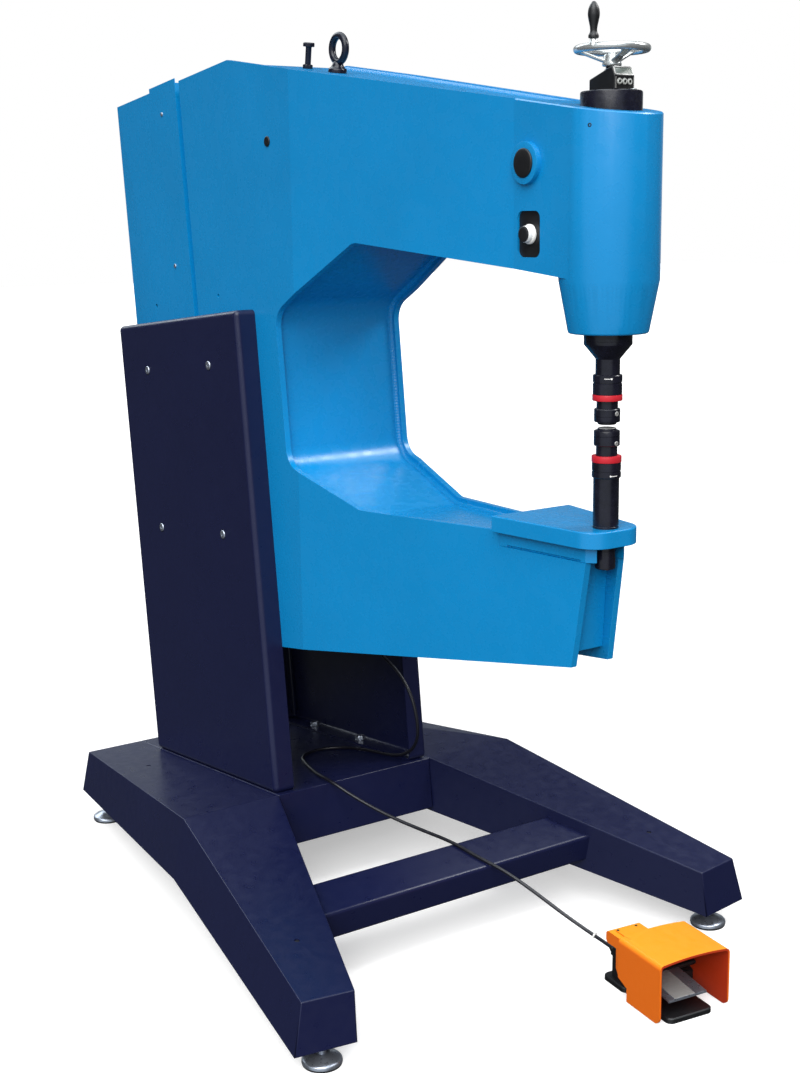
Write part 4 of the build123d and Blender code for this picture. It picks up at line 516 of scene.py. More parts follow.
class FormerFinishes(bpy.types.PropertyGroup):
    blue: FloatVectorProperty(
        name="Frame blue", description="Paint of the frame", default=(0.0015, 0.207, 0.49), subtype="COLOR"
    )
    navy: FloatVectorProperty(
        name="Stand navy", description="Paint of the stand", default=(0.006, 0.008, 0.037), subtype="COLOR"
    )
    orange: FloatVectorProperty(
        name="Switch orange", description="Hood of the foot switch",
        default=(0.72, 0.14, 0.005), subtype="COLOR"
    )
    # Painted light on the hood's top, where it faces up.
    lit_top_orange: FloatVectorProperty(
        name="Lit top orange", description="Painted light on the top of the foot switch", default=(0.8, 0.29, 0.008), subtype="COLOR"
    )
    # Painted shade inside the hood.
    shaded_inner_orange: FloatVectorProperty(
        name="Shaded inner orange", description="Painted shade inside the foot switch",
        default=(0.4, 0.03, 0.006), subtype="COLOR"
    )
    red: FloatVectorProperty(
        name="Ring red", description="Rings of the tool holders",
        default=(0.47, 0.013, 0.024), subtype="COLOR"
    )


FINISH = {}


def make_finishes(look):
    """Fill the table of finishes."""
    FINISH["blue"] = textured_paint("frame_blue", tuple(look.blue), 0.27, 0.5)
    FINISH["navy"] = textured_paint("stand_navy", tuple(look.navy), 0.32, 0.38)
    FINISH["chrome"] = bright_metal("chrome", (0.56, 0.58, 0.58), 0.22, 0.7)
    FINISH["steel"] = bright_metal("steel", (0.4, 0.4, 0.39), 0.4, 0.45)
    FINISH["trim"] = FINISH["steel"]
    FINISH["zinc"] = bright_metal("zinc_plate", (0.4, 0.43, 0.5), 0.3, 0.86)
    FINISH["black_steel"] = black_metal("black_steel", (0.006, 0.006, 0.012), 0.24)
    FINISH["black_plastic"] = moulded("black_plastic", (0.006, 0.006, 0.007), 0.42)
    FINISH["white_plastic"] = moulded("white_plastic", (0.8, 0.8, 0.78), 0.34)
    FINISH["grey_plastic"] = moulded("grey_plastic", (0.42, 0.44, 0.42), 0.4)
    # The hood's own orange, a painted light on its top and a painted shade within.
    hood = (tuple(colour) for colour in (look.orange, look.lit_top_orange, look.shaded_inner_orange))
    FINISH["orange"] = lit_and_shaded_hood("switch_orange", *hood, 0.4)
    FINISH["red"] = moulded("ring_red", tuple(look.red), 0.36)
    FINISH["rubber"] = moulded("rubber", (0.01, 0.01, 0.01), 0.6, 500.0)
    FINISH["motor"] = textured_paint("motor_grey", (0.13, 0.14, 0.15), 0.5, 0.4)
    FINISH["jacket"] = moulded("cable_jacket", (0.006, 0.006, 0.01), 0.38, 700.0)
    glass = Finish("display", (0.13, 0.16, 0.14), 0.25, coat=1.0)
    glass.mottle(glass.between(glass.noise(90.0), 0.0, 1.0), (0.11, 0.135, 0.12), (0.16, 0.19, 0.165))
    FINISH["display"] = glass.material


# Frame, stand, head and table

NODE_FINISH = {
    "blue": "arm_end_plate mounting_rails",
    "navy": "cheek_left cheek_right",
    "steel": "drive_plate cheek_spacers shaft_bearings drive_shaft ram_slide guide_bush "
    "driven_pulley motor_pulley",
    "rubber": "drive_belt",
    "motor": "motor",
    "black_plastic": "selector_panel",
}

# Width of each piece's rounded edges
BLUE_EDGES = {
    "side_plate_right": 1.8,
    "side_plate_left": 1.8,
    "throat_liner": 1.0,
    "top_web": 1.0,
    "bottom_web": 1.0,
    "front_web": 1.0,
    "head_housing": 1.6,
    "table_plate": 1.2,
    "table_carrier": 1.6,
    "rear_cover": 0.7,
}
NAVY_EDGES = {"leg_right": 2.4, "leg_left": 2.4, "rear_crossmember": 2.4, "front_cross_tube": 2.0}
SHORTEST_STAND_EDGE = 6.0


class FORMER_OT_steelwork(bpy.types.Operator):
    """Frame, stand, head and table with rounded edges and paint"""

    bl_idname = "former.steelwork"
    bl_label = "Steelwork"

    def execute(self, context):
        for finish, nodes in NODE_FINISH.items():
            for node in nodes.split():
                mesh = frame["nodes"][node].data
                mesh.materials.clear()
                mesh.materials.append(FINISH[finish])
        for node, width in BLUE_EDGES.items():
            softened(node, width, "blue")
        for node, width in NAVY_EDGES.items():
            softened(node, width, "navy", shortest=SHORTEST_STAND_EDGE)
        return {"FINISHED"}


# Weld beads

RIPPLE = 0.07
RIPPLE_PITCH = 6.0
LINER_LEG = 6.0
TOP_LEG = 4.0
THROAT_RADII = np.array((35.0, 45.0, 45.0, 35.0))


def weld(shape, path, rise, across, leg):
    """A bead in a corner: a bulged quarter section of a leg length, which swells in ripples along its path.

    Rise and across point away from the two faces of the corner, one direction for each point of the path.
    """
    path, run = evenly(np.hstack((path, rise)), RIPPLE_PITCH / 5)
    path, rise = path[:, :3], path[:, 3:]
    size = leg * (1 + RIPPLE * np.sin(2 * pi * run / RIPPLE_PITCH))[:, None]
    turn = np.linspace(0, pi / 2, 6)
    bulge = (0.8 + 0.1 * np.sin(2 * turn)) * np.array((1.25, 1, 1, 1, 1, 1.25))
    arc = [path + size * bulge[k] * (cos(turn[k]) * rise + sin(turn[k]) * across) for k in range(6)]
    root = path - 0.2 * leg * (rise + across)
    shape.grid(np.stack((*arc, root), 1), wrap_columns=True, caps=True)


def plate_inside(chain):
    """Inner face of a side plate, from the middle, beside a chain: the arms run in from the bend."""
    turn = np.where(chain[:, 1] > THROAT[1], UPPER_TURN, LOWER_TURN)
    return FRAME_HALF - PLATE - np.maximum(0.0, chain[:, 0] - TOOL_X - BEND_X) * np.tan(turn)


def side_normals(chain):
    """Directions to the left of a chain in the side view, as points of the machine."""
    along = np.gradient(chain, axis=0)
    along /= np.linalg.norm(along, axis=1)[:, None]
    return np.stack((-along[:, 1], np.zeros(len(chain)), along[:, 0]), -1)


def web_welds(shape, chain, leg):
    """Beads on both edges of a web whose free face runs along a chain in the side view."""
    chain, _ = evenly(chain, 12.0)
    rise = side_normals(chain)
    for side in (-1.0, 1.0):
        path = np.stack((chain[:, 0], side * plate_inside(chain), chain[:, 1]), -1)
        weld(shape, path, rise, np.array((0.0, -side, 0.0)), leg)


def side_view(*points):
    """The side view of some points: their places along and their heights."""
    return np.array(points)[:, [0, 2]]


def inset_chain(chain, distance):
    """A chain of points in the side view moved to its right, with its corners kept sharp."""
    along = np.diff(chain, axis=0)
    along /= np.linalg.norm(along, axis=1)[:, None]
    right = np.stack((along[:, 1], -along[:, 0]), -1)
    mitre = (right[:-1] + right[1:]) / (1 + np.sum(right[:-1] * right[1:], 1))[:, None]
    return chain + distance * np.concatenate((right[:1], mitre, right[-1:]))


class FORMER_OT_welds(bpy.types.Operator):
    """Weld beads between the side plates and the webs"""

    bl_idname = "former.welds"
    bl_label = "Weld beads"

    def execute(self, context):
        throat = side_view(
            at(SEAM_X, 0, 1311.0),
            column(272.0, 258.0),
            column(0.0, 148.0),
            column(0.0, -148.0),
            column(218.0, -236.0),
            at(-200.0, 0, 868.0),
        )
        liner = rounded(inset_chain(throat, LINER_INSET), THROAT_RADII + LINER_INSET)
        top = side_view(*(at(x, 0, top_edge(x) - WEB_INSET) for x in (APEX_X, SEAM_X)))
        beads = Shape()
        web_welds(beads, liner, LINER_LEG)
        web_welds(beads, top, TOP_LEG)
        beads.build("frame_welds", "blue", "machine", 60.0)
        return {"FINISHED"}


# Fasteners

CHEEK_FACE = 189.0
CHEEK_SCREWS = [(ahead, up) for ahead in (-519.0, -219.0) for up in (57.0, -297.0)]
COVER_SCREWS = ((-424.0, 602.0), (-424.0, 278.0))
BASE_BOLTS = ((-526.0, -828.0), (-320.0, -828.0), (-113.0, -828.0))
BASE_BOLT_ROW = 168.0
BOLT_WASHER = 2.5
LEG_HOLES = ((-1224.0, 279.0, 181.6), (-324.0, 415.9, 155.4))
PLUG = (-825.5, 1542.0)


def socket_screw(shape, origin, axis, radius, rise, socket, depth):
    """A domed screw head: circles that close in to a hexagon socket."""
    ring = np.ones(HEAD_STEPS)
    hexed = hexagon(socket)
    dome = 1.2
    turn = np.linspace(0, dome, 6)
    edge = [radius * (0.72 + 0.28 * cos(t)) * ring for t in turn]
    height = [rise * (0.35 + 0.65 * sin(t) / sin(dome)) for t in turn]
    rows = [radius * ring, *edge, hexed * 1.06, hexed, hexed * 0.98]
    shape.stack(rows, [-0.6, *height, rise, rise - 0.4, rise - depth], origin, axis)


def hexagon_head(shape, origin, axis, across, height):
    """A chamfered hexagon head: a hexagon that ends in a circle."""
    hexed = hexagon(across)
    rows = [hexed * 0.985, hexed, hexed, np.minimum(hexed, across / 2 * 0.99)]
    shape.stack(rows, [-0.05, 0.5, height - across * 0.07, height], origin, axis)


def washer(shape, origin, axis, radius, height):
    """A washer with rounded rims."""
    profile = [(radius - 0.5, 0), (radius, 0.5), (radius, height - 0.5), (radius - 0.5, height)]
    shape.lathe(profile, origin, axis)


class FORMER_OT_fasteners(bpy.types.Operator):
    """Cheek screws, cover screws, base bolts, black caps in the legs' holes that paint their shade, and plugs
    """

    bl_idname = "former.fasteners"
    bl_label = "Fasteners"

    def execute(self, context):
        screws, covers, bolts, plugs, caps = (Shape() for _ in range(5))
        # Profile of the black caps that paint the shade inside the legs' holes.
        hole_shade_profile = smoothed([(0.0, -1.4), (4.6, -1.4), (4.95, -1.0), (4.95, 0.2), (4.4, 0.7), (0.0, 0.8)], 24)
        button = smoothed([(10.0, -0.2), (10.0, 1.2), (9.2, 2.4), (6.5, 3.0), (0.0, 3.0)], 14)
        for side in (-1.0, 1.0):
            out = side * LEFT
            # Painted shade: black caps sunk in the legs' holes stand for the shade inside the hollow legs.
            for x, y, z in LEG_HOLES:
                caps.lathe(hole_shade_profile, at(x, side * y, z), UP, 32)
            for ahead, up in CHEEK_SCREWS:
                socket_screw(screws, column(ahead, up, side * CHEEK_FACE), out, 9.4, 4.0, 6.0, 3.0)
            for ahead, up in COVER_SCREWS:
                socket_screw(covers, column(ahead, up, side * FRAME_HALF), out, 4.6, 2.2, 3.0, 1.6)
            for ahead, up in BASE_BOLTS:
                seat = column(ahead, up, side * BASE_BOLT_ROW)
                washer(bolts, seat, COLUMN_UP, 12.0, BOLT_WASHER)
                hexagon_head(bolts, seat + BOLT_WASHER * COLUMN_UP, COLUMN_UP, 19.0, 8.0)
            plugs.lathe(button, at(PLUG[0], side * FRAME_HALF, PLUG[1]), out, 40)
        screws.build("cheek_screw_heads", "zinc", "machine", 35.0, "cheek_screws")
        covers.build("cover_screw_heads", "zinc", "machine", 35.0)
        bolts.build("base_bolt_heads", "zinc", "machine", 35.0, "base_bolts")
        caps.build("leg_hole_shade_caps", "black_plastic", "machine", 40.0)
        plugs.build("side_plug_caps", "black_plastic", "machine", 50.0, "side_plugs")
        return {"FINISHED"}


# Lifting eye and stop pin

EYE_X = -799.0
EYE_RISE = 45.0
STOP_PIN_X = -912.0


def on_top_web(x):
    """The point of the top web's upper face at a distance from the tool axis."""
    return at(x, 0, top_edge(x) - WEB_INSET / cos(TOP_SLOPE))


class FORMER_OT_lifting(bpy.types.Operator):
    """Lifting eye and stop pin on the top web"""

    bl_idname = "former.lifting"
    bl_label = "Lifting eye and stop pin"

    def execute(self, context):
        seat = on_top_web(EYE_X)
        eye = Shape().hoop(seat + EYE_RISE * TOP_NORMAL, 24.5, 7.0, TOP_AHEAD, TOP_NORMAL, LEFT, 72, 24)
        collar = [(18.0, 0), (18.0, 6.0), (17.2, 8.0), (15.0, 9.2)]
        collar += [(13.0, 11.0), (11.2, 14.5), (9.5, 19.5), (6.0, 22.0)]
        eye.lathe(collar, seat, TOP_NORMAL)
        eye.build("lifting_eye", "black_steel", "machine", 50.0, "eye_bolt")
        seat = on_top_web(STOP_PIN_X)
        pin = Shape()
        hexagon_head(pin, seat, TOP_NORMAL, 17.3, 8.0)
        stem = [(6.0, 7.6), (6.0, 40.0), (6.4, 42.0), (10.6, 42.0)]
        stem += [(11.5, 42.9), (11.5, 48.6), (10.2, 50.0), (0, 50.0)]
        pin.lathe(stem, seat, TOP_NORMAL)
        pin.build("stop_pin", "black_steel", "machine", 35.0, "top_tee_bolt")
        return {"FINISHED"}


# Head fittings

OUT = -LEFT
BOSS = at(-106.0, -88.6, 1477.0)
SELECTOR = at(-103.5, -75.6, 1366.5)
GRUB_LEVEL = 1528.0
GRUB_REACH = 79.4
GRUB_WAY = np.array((0.42, -0.9075, 0.0))


class FormerHead(bpy.types.PropertyGroup):
    knob_radius: FloatProperty(
        name="Knob", description="Skirt radius of the selector", default=0.016, unit="LENGTH"
    )


def boss():
    """Domed cap on the boss, and the boss's flat face with its rounded rim, each turned from a profile."""
    dome = smoothed([(23.0, -0.5), (23.0, 1.4), (21.6, 2.9), (17.5, 3.7), (9.0, 4.0), (0, 4.0)], 22)
    cap = Shape().lathe(dome, BOSS, OUT, 72)
    cap.build("boss_cap", "black_plastic", "machine", 50.0, "head_cap")
    edge = [(22.9, 0.05), (32.2, 0.05), (32.9, -0.2), (33.2, -0.9), (33.2, -15.9), (22.9, -15.9)]
    face = Shape().lathe(edge, BOSS, OUT, 96, bore=True)
    face.build("boss_face", "blue", "machine", 30.0)


def knob(radius):
    """Selector knob: a turned skirt of a radius, and a cap with eighteen flutes."""
    profile = [(-6.0, 0.3), (-0.4, 0.3), (0.0, 0.8), (0.0, 3.6), (-1.0, 5.2)]
    profile += [(-2.4, 6.2), (-2.9, 12.6), (-3.4, 13.4), (-6.0, 13.4)]
    skirt = Shape().lathe(np.array(profile) + (radius, 0.0), SELECTOR, OUT, 72, bore=True)
    skirt.build("knob_skirt", "white_plastic", "selector_knob", 35.0, "selector_knob")
    flutes = 0.35 * np.cos(18 * full_turn(72))
    rows = [(9.8, 0.0), (9.9, 0.0), (12.1, 0.4), (12.4, 1.0), (12.2, 1.0), (11.2, 0.6), (7.0, 0.0)]
    heights = [0.4, 13.2, 13.45, 13.9, 15.2, 16.0, 16.3]
    grip = Shape().stack([reach + share * flutes for reach, share in rows], heights, SELECTOR, OUT)
    grip.build("knob_cap", "black_plastic", "selector_knob", 35.0)


def selector_marks():
    """Three bars and a dot printed round the knob."""
    marks = Shape()
    for angle, length in ((-50.0, 4.0), (0.0, 5.0), (50.0, 4.0)):
        way = bearing(radians(angle), UP, FORWARD)
        bar = rounded_rectangle(0.9, length, 0.4, 4)
        start = SELECTOR + way * (20.5 + length / 2) - 0.1 * OUT
        marks.prism(bar, start, np.cross(OUT, way), way, 0.25)
    dot = SELECTOR + 19.5 * bearing(radians(-62.0), UP, FORWARD)
    marks.lathe([(1.3, -0.1), (1.3, 0.15), (0, 0.2)], dot, OUT, 20)
    marks.build("selector_marks", "white_plastic", "machine")


class FORMER_OT_head(bpy.types.Operator):
    """Cap on the boss, selector knob with its marks, and the grub screw"""

    bl_idname = "former.head"
    bl_label = "Head fittings"

    def execute(self, context):
        boss()
        knob(context.scene.former_head.knob_radius / MM)
        selector_marks()
        grub = Shape()
        socket_screw(grub, at(0, 0, GRUB_LEVEL) + GRUB_REACH * GRUB_WAY, GRUB_WAY, 3.4, 0.7, 2.4, 1.2)
        grub.build("head_grub_screw", "black_steel", "machine", 35.0)
        return {"FINISHED"}


# Position indicator

CASE_HALF_LENGTH = 29.5
CASE_WIDTH = 41.0
CASE_BACK = 1600.0
WINDOW_FOOT = (29.5, 1602.5)
WINDOW_HEAD = (22.5, 1617.0)
KEY_LEVEL = 1594.0
KEY_PITCH = 10.5


def indicator_case():
    """Collar on the head, and the case as a prism whose front leans back at the window."""
    collar = [(8.05, HEAD_TOP), (48.3, HEAD_TOP), (48.3, 1578.6), (47.7, 1580.4), (46.2, COLLAR_TOP)]
    ring = Shape().lathe([*collar, (8.05, COLLAR_TOP)], AXIS, UP, 128, bore=True)
    ring.build("indicator_collar", "black_steel", "machine", 30.0, "top_collar")
    outline = [(-CASE_HALF_LENGTH, COLLAR_TOP), (CASE_HALF_LENGTH, COLLAR_TOP), WINDOW_FOOT, WINDOW_HEAD]
    outline = np.array([*outline, (-CASE_HALF_LENGTH, CASE_BACK)])
    case = Shape().prism(outline, at(0, CASE_WIDTH / 2, 0), FORWARD, UP, CASE_WIDTH)
    case = case.build("indicator_case", "black_plastic", "machine", 30.0, "indicator_body")
    bevelled(case, 2.0, 4, 20.0)


def indicator_window():
    """Bezel as rounded rectangles stacked square to the leaning face, with the pane inside it."""
    foot, head = at(WINDOW_FOOT[0], 0, WINDOW_FOOT[1]), at(WINDOW_HEAD[0], 0, WINDOW_HEAD[1])
    centre = (foot + head) / 2
    slope = (head - foot) / np.linalg.norm(head - foot)
    out = np.cross(LEFT, slope)
    rows = []
    for inset, height in ((0, -1.2), (0, 0.7), (0.5, 1.2), (2.3, 1.2), (2.8, 0.7), (2.8, -1.2)):
        edge = rounded_rectangle(38.6 - 2 * inset, 15.6 - 2 * inset, 3.4 - inset, 7)
        rows.append(centre + edge[:, :1] * LEFT + edge[:, 1:] * slope + height * out)
    bezel = Shape().grid(np.stack(rows), wrap_rows=True, wrap_columns=True)
    bezel.build("indicator_bezel", "trim", "machine", 40.0)
    pane = Shape().prism(rounded_rectangle(33.2, 10.2, 0.7, 4), centre - 0.6 * out, LEFT, slope, 0.8)
    pane.build("indicator_pane", "display", "machine", 40.0, "indicator_window")


def indicator_trim():
    """Bright strips beside the keys, and the pin that keeps the case from turning."""
    trim = Shape()
    for left, width in ((-17.8, 1.3), (17.8, 0.7)):
        trim.prism(rounded_rectangle(width, 17.0, 0.3, 4), at(29.1, left, 1592.0), LEFT, UP, 0.8)
    trim.build("indicator_edges", "trim", "machine")
    profile = [(5.2, 0), (5.2, 1.4), (4.4, 2.2), (0, 2.6)]
    stop = Shape().lathe(profile, at(35.5, 12.5, COLLAR_TOP - 0.1), UP, 32)
    stop.build("torque_pin", "chrome", "machine")


def indicator_keys():
    """Three dished keys, each with a dark mark, in bright rings."""
    key_profile = [(4.15, -1.5), (4.15, 1.2), (3.7, 1.7), (2.7, 1.8), (2.5, 1.2), (0, 1.2)]
    mark_profile = [(2.2, 1.15), (2.2, 1.3), (1.9, 1.42), (0, 1.42)]
    ring_profile = [(4.3, -0.3), (5.0, -0.3), (5.0, 0.3), (4.7, 0.6), (4.3, 0.5)]
    rings = Shape()
    for number in (1, 2, 3):
        place = at(CASE_HALF_LENGTH, (number - 2) * KEY_PITCH, KEY_LEVEL)
        body = f"button_{number}"
        key = Shape().lathe(key_profile, place, FORWARD, 40)
        key.build(f"key_{number}", "grey_plastic", body, 35.0, f"indicator_{body}")
        mark = Shape().lathe(mark_profile, place, FORWARD, 24)
        mark.build(f"key_mark_{number}", "black_plastic", body)
        rings.lathe(ring_profile, place, FORWARD, 40, bore=True)
    rings.build("key_rings", "trim", "machine")


class FORMER_OT_indicator(bpy.types.Operator):
    """Case, bezel, display and buttons of the position indicator, and the collar under it"""

    bl_idname = "former.indicator"
    bl_label = "Position indicator"

    def execute(self, context):
        indicator_case()
        indicator_window()
        indicator_trim()
        indicator_keys()
        return {"FINISHED"}


# Handwheel and handle

WHEEL_SPOKES = (-13.0, 107.0, 227.0)
WHEEL_LEVEL = 1644.0
SPOKE_LEVEL = 1624.5
SPOKE_START = 5.0
SPOKE_RISE = 18.5
HANDLE_TURN = radians(-73.0)


class FormerWheel(bpy.types.PropertyGroup):
    radius: FloatProperty(
        name="Wheel radius", description="To the middle of the rim", default=0.0536, unit="LENGTH"
    )
    rim: FloatProperty(name="Rim", description="Radius of the rim's section", default=0.006, unit="LENGTH")


def spoke(shape, angle, reach):
    """A spoke that rises from hub to rim: a rounded oblong, widest at the hub, which flares at the rim."""
    way = bearing(angle, FORWARD, LEFT)
    across = np.cross(UP, way)
    t = np.linspace(0, 1, 24)[:, None, None]
    turn = full_turn(28)[None, :, None]
    half = 6.2 + 2.6 * (1 - t) ** 3 + 4.4 * t**5
    thick = 2.9 - 0.4 * t
    run = SPOKE_START + t * (reach - SPOKE_START)
    centre = at(0, 0, SPOKE_LEVEL) + run * way + SPOKE_RISE * t**1.08 * UP
    side = np.sign(np.cos(turn)) * np.abs(np.cos(turn)) ** 0.55
    lift = np.sign(np.sin(turn)) * np.abs(np.sin(turn)) ** 0.7
    slant = UP - 0.36 * way
    shape.grid(centre + half * side * across + thick * lift * slant, wrap_columns=True, caps=True)


def wheel_casting(radius, rim, crank):
    """Rim, spokes, turned hub with its spindle, and the pin that carries the handle."""
    wheel = Shape().hoop(at(0, 0, WHEEL_LEVEL), radius, rim, FORWARD, LEFT, UP, 120, 28)
    for angle in WHEEL_SPOKES:
        spoke(wheel, radians(angle), radius)
    hub = [(0, 1560.0), (8.0, 1560.0), (8.0, 1618.5), (13.8, 1618.5), (15.0, 1619.7)]
    hub += [(15.0, 1622.2), (14.3, 1623.2), (12.9, 1633.8), (11.9, 1635.6), (9.8, 1636.0)]
    hub += [(6.2, 1636.0), (5.6, 1635.2), (5.2, 1637.6), (4.4, 1638.6), (0, 1638.8)]
    wheel.lathe(hub, AXIS, UP, 72)
    pin = [(0, 1645.0), (7.0, 1645.0), (6.4, 1650.2), (5.5, 1651.0), (5.5, 1655.0)]
    pin += [(5.0, 1655.7), (3.0, 1655.7), (3.0, 1669.6), (0, 1669.6)]
    wheel.lathe(pin, crank, UP, 36)
    wheel.build("handwheel_casting", "chrome", "handwheel", 50.0, "handwheel")


def spindle_fittings():
    """A dark washer under the hub, and the bright gland that the spindle passes through."""
    profile = [(8.02, 1615.4), (9.4, 1615.4), (9.4, 1618.3), (8.02, 1618.3)]
    spacer = Shape().lathe(profile, AXIS, UP, 48, bore=True)
    spacer.build("spindle_washer", "black_steel", "handwheel", 30.0)
    profile = [(8.1, 1604.0), (11.6, 1604.0), (11.9, 1611.5), (11.3, 1613.4), (9.9, 1614.6), (8.1, 1614.9)]
    gland = Shape().lathe(profile, AXIS, UP, 64, bore=True)
    gland.build("spindle_gland", "chrome", "machine", 40.0)


def crank_grip(crank):
    """The turned handle: a smooth outline over a blind bore for its pin."""
    outline = [(8.0, 1659.4), (7.4, 1661.2), (5.9, 1664.0), (5.3, 1667.5), (5.9, 1673.0), (7.4, 1680.0)]
    outline += [(8.8, 1687.0), (9.0, 1692.0), (8.2, 1698.0), (6.0, 1703.5), (3.8, 1706.8), (2.6, 1708.4)]
    bore = [(0, 1670.0), (3.05, 1670.0), (3.05, 1656.0), (7.3, 1656.0), (8.0, 1656.7)]
    profile = np.concatenate((np.array(bore), smoothed(outline, 60), np.array([(1.4, 1709.0), (0, 1709.0)])))
    grip = Shape().lathe(profile, crank, UP, 56)
    grip.build("crank_grip", "black_plastic", "crank_handle", 40.0, "crank_handle")


class FORMER_OT_handwheel(bpy.types.Operator):
    """Dished chrome handwheel on its spindle, and the revolving handle"""

    bl_idname = "former.handwheel"
    bl_label = "Handwheel"

    def execute(self, context):
        look = context.scene.former_wheel
        radius = look.radius / MM
        crank = AXIS + radius * bearing(HANDLE_TURN, FORWARD, LEFT)
        wheel_casting(radius, look.rim / MM, crank)
        spindle_fittings()
        crank_grip(crank)
        return {"FINISHED"}


# Tool stack

HOLDER_RADIUS = 23.6
GROOVE_RADIUS = 22.5
RING_BORE = 17.5
RING_RADIUS = 24.2
RING_EDGE = 0.8
MARK_SWEEP = 0.5
SCREW_WAY = np.array((0.995, 0.1, 0.0))
SCREW_REACH = 20.8


def holder(near, up, grip, length, inner):
    """A release collar: a knurled grip beside its ring, a groove and a plain band."""
    heights = np.linspace(0.6, grip - 0.6, 25)
    start = [(inner, 0.0), (HOLDER_RADIUS - 0.9, 0.0)]
    end = [(GROOVE_RADIUS, grip), (GROOVE_RADIUS, grip + 2.0), (HOLDER_RADIUS, grip + 2.3)]
    end += [(HOLDER_RADIUS, length - 1.4), (HOLDER_RADIUS - 1.2, length), (inner, length)]
    rows = [np.full(KNURL_STEPS, radius) for radius, _ in start]
    rows += [*knurled(HOLDER_RADIUS, 0.55, 90, 1.9, heights)]
    rows += [np.full(KNURL_STEPS, radius) for radius, _ in end]
    levels = [level for _, level in start] + heights.tolist() + [level for _, level in end]
    return Shape().stack(rows, near + up * np.array(levels), AXIS, bore=True)


def grip_ring(bottom, top):
    """A ring whose outer edges are rounded in two steps."""
    near, far = 0.3 * RING_EDGE, RING_EDGE
    profile = [(RING_BORE, bottom), (RING_RADIUS - far, bottom), (RING_RADIUS - near, bottom + near)]
    profile += [(RING_RADIUS, bottom + far), (RING_RADIUS, top - far), (RING_RADIUS - near, top - near)]
    profile += [(RING_RADIUS - far, top), (RING_BORE, top)]
    return Shape().lathe(profile, AXIS, UP, 96, bore=True)


def tool(face, body_end, neck_end, up):
    """A forming tool: rim round the insert, groove, body, neck and shank."""
    length, neck = abs(body_end - face), abs(neck_end - face)
    profile = [(15.0, 1.0), (15.4, 3.6), (16.5, 4.0), (19.2, 4.2), (20.4, 4.8), (21.0, 6.0)]
    profile += [(21.0, 13.0), (20.2, 13.3), (20.2, 14.0), (21.0, 14.3)]
    profile += [(21.0, length - 1.2), (20.0, length), (17.2, length), (17.2, neck - 0.8), (16.6, neck)]
    profile += [(SHANK_RADIUS, neck), (SHANK_RADIUS, neck + SHANK), (0, neck + SHANK), (0, 1.0)]
    return Shape().lathe(np.array(profile) * (1.0, up) + (0.0, face), AXIS, UP, 96)


def ram_rod():
    """The turned ram: a bored rod, a cone and a head with a groove."""
    profile = [(SHANK_BORE, RAM_END), (19.0, RAM_END), (19.6, 1118.4), (19.6, 1170.2), (20.2, 1171.2)]
    profile += [(38.2, 1193.0), (38.7, 1194.2), (38.7, 1199.0), (38.4, 1199.2), (38.4, 1199.8)]
    profile += [(38.7, 1200.0), (38.7, RAM_TOP), (14.05, RAM_TOP), (14.05, 1162.0), (SHANK_BORE, 1162.0)]
    return Shape().lathe(profile, AXIS, UP, 96, bore=True)


def die_post():
    """The turned post: a stepped rod with two grooves and a socket for the lower tool."""
    profile = [(0, POST_FOOT), (15.3, POST_FOOT), (16.8, POST_FOOT + 1.5), (16.8, 858.0), (16.2, 858.4)]
    profile += [(16.2, 859.6), (16.8, 860.0), (16.8, 868.0), (20.4, 868.0), (21.0, 868.6), (21.0, 899.0)]
    profile += [(20.7, 899.3), (20.7, 900.4), (21.0, 900.7), (21.0, 999.3), (20.4, POST_TOP)]
    profile += [(SHANK_BORE, POST_TOP), (SHANK_BORE, 969.6), (0, 969.6)]
    return Shape().lathe(profile, AXIS, UP, 96)


def insert_and_screw(name, body, face, up, screw_up):
    """The bright insert in a tool's face, and the set screw in its side."""
    pad = np.array([(14.9, 3.5), (14.9, 1.2), (14.0, 0.35), (11.0, 0.05), (0, 0)]) * (1.0, up) + (0.0, face)
    Shape().lathe(pad, AXIS, UP, 72).build(f"{name}_insert", "steel", body, 30.0)
    screw = Shape()
    seat = at(0, 0, face + up * screw_up) + SCREW_REACH * SCREW_WAY
    socket_screw(screw, seat, SCREW_WAY, 3.8, 1.0, 2.2, 1.4)
    screw.build(f"{name}_set_screw", "steel", body, 35.0)


def collar_mark(name, body, level, start, dot):
    """A printed line part of the way round a collar, with a dot at one of its ends."""
    way = bearing(np.linspace(start, start + MARK_SWEEP, 12), FORWARD, LEFT)
    line = [at(0, 0, level + h) + (HOLDER_RADIUS + 0.06) * way for h in (-0.5, 0.5)]
    mark = Shape().grid(np.stack(line))
    tip = at(0, 0, level) + HOLDER_RADIUS * way[dot]
    mark.lathe([(1.5, -0.3), (1.5, 0.08), (0, 0.12)], tip, way[dot], 16)
    mark.build(f"{name}_mark", "white_plastic", body)


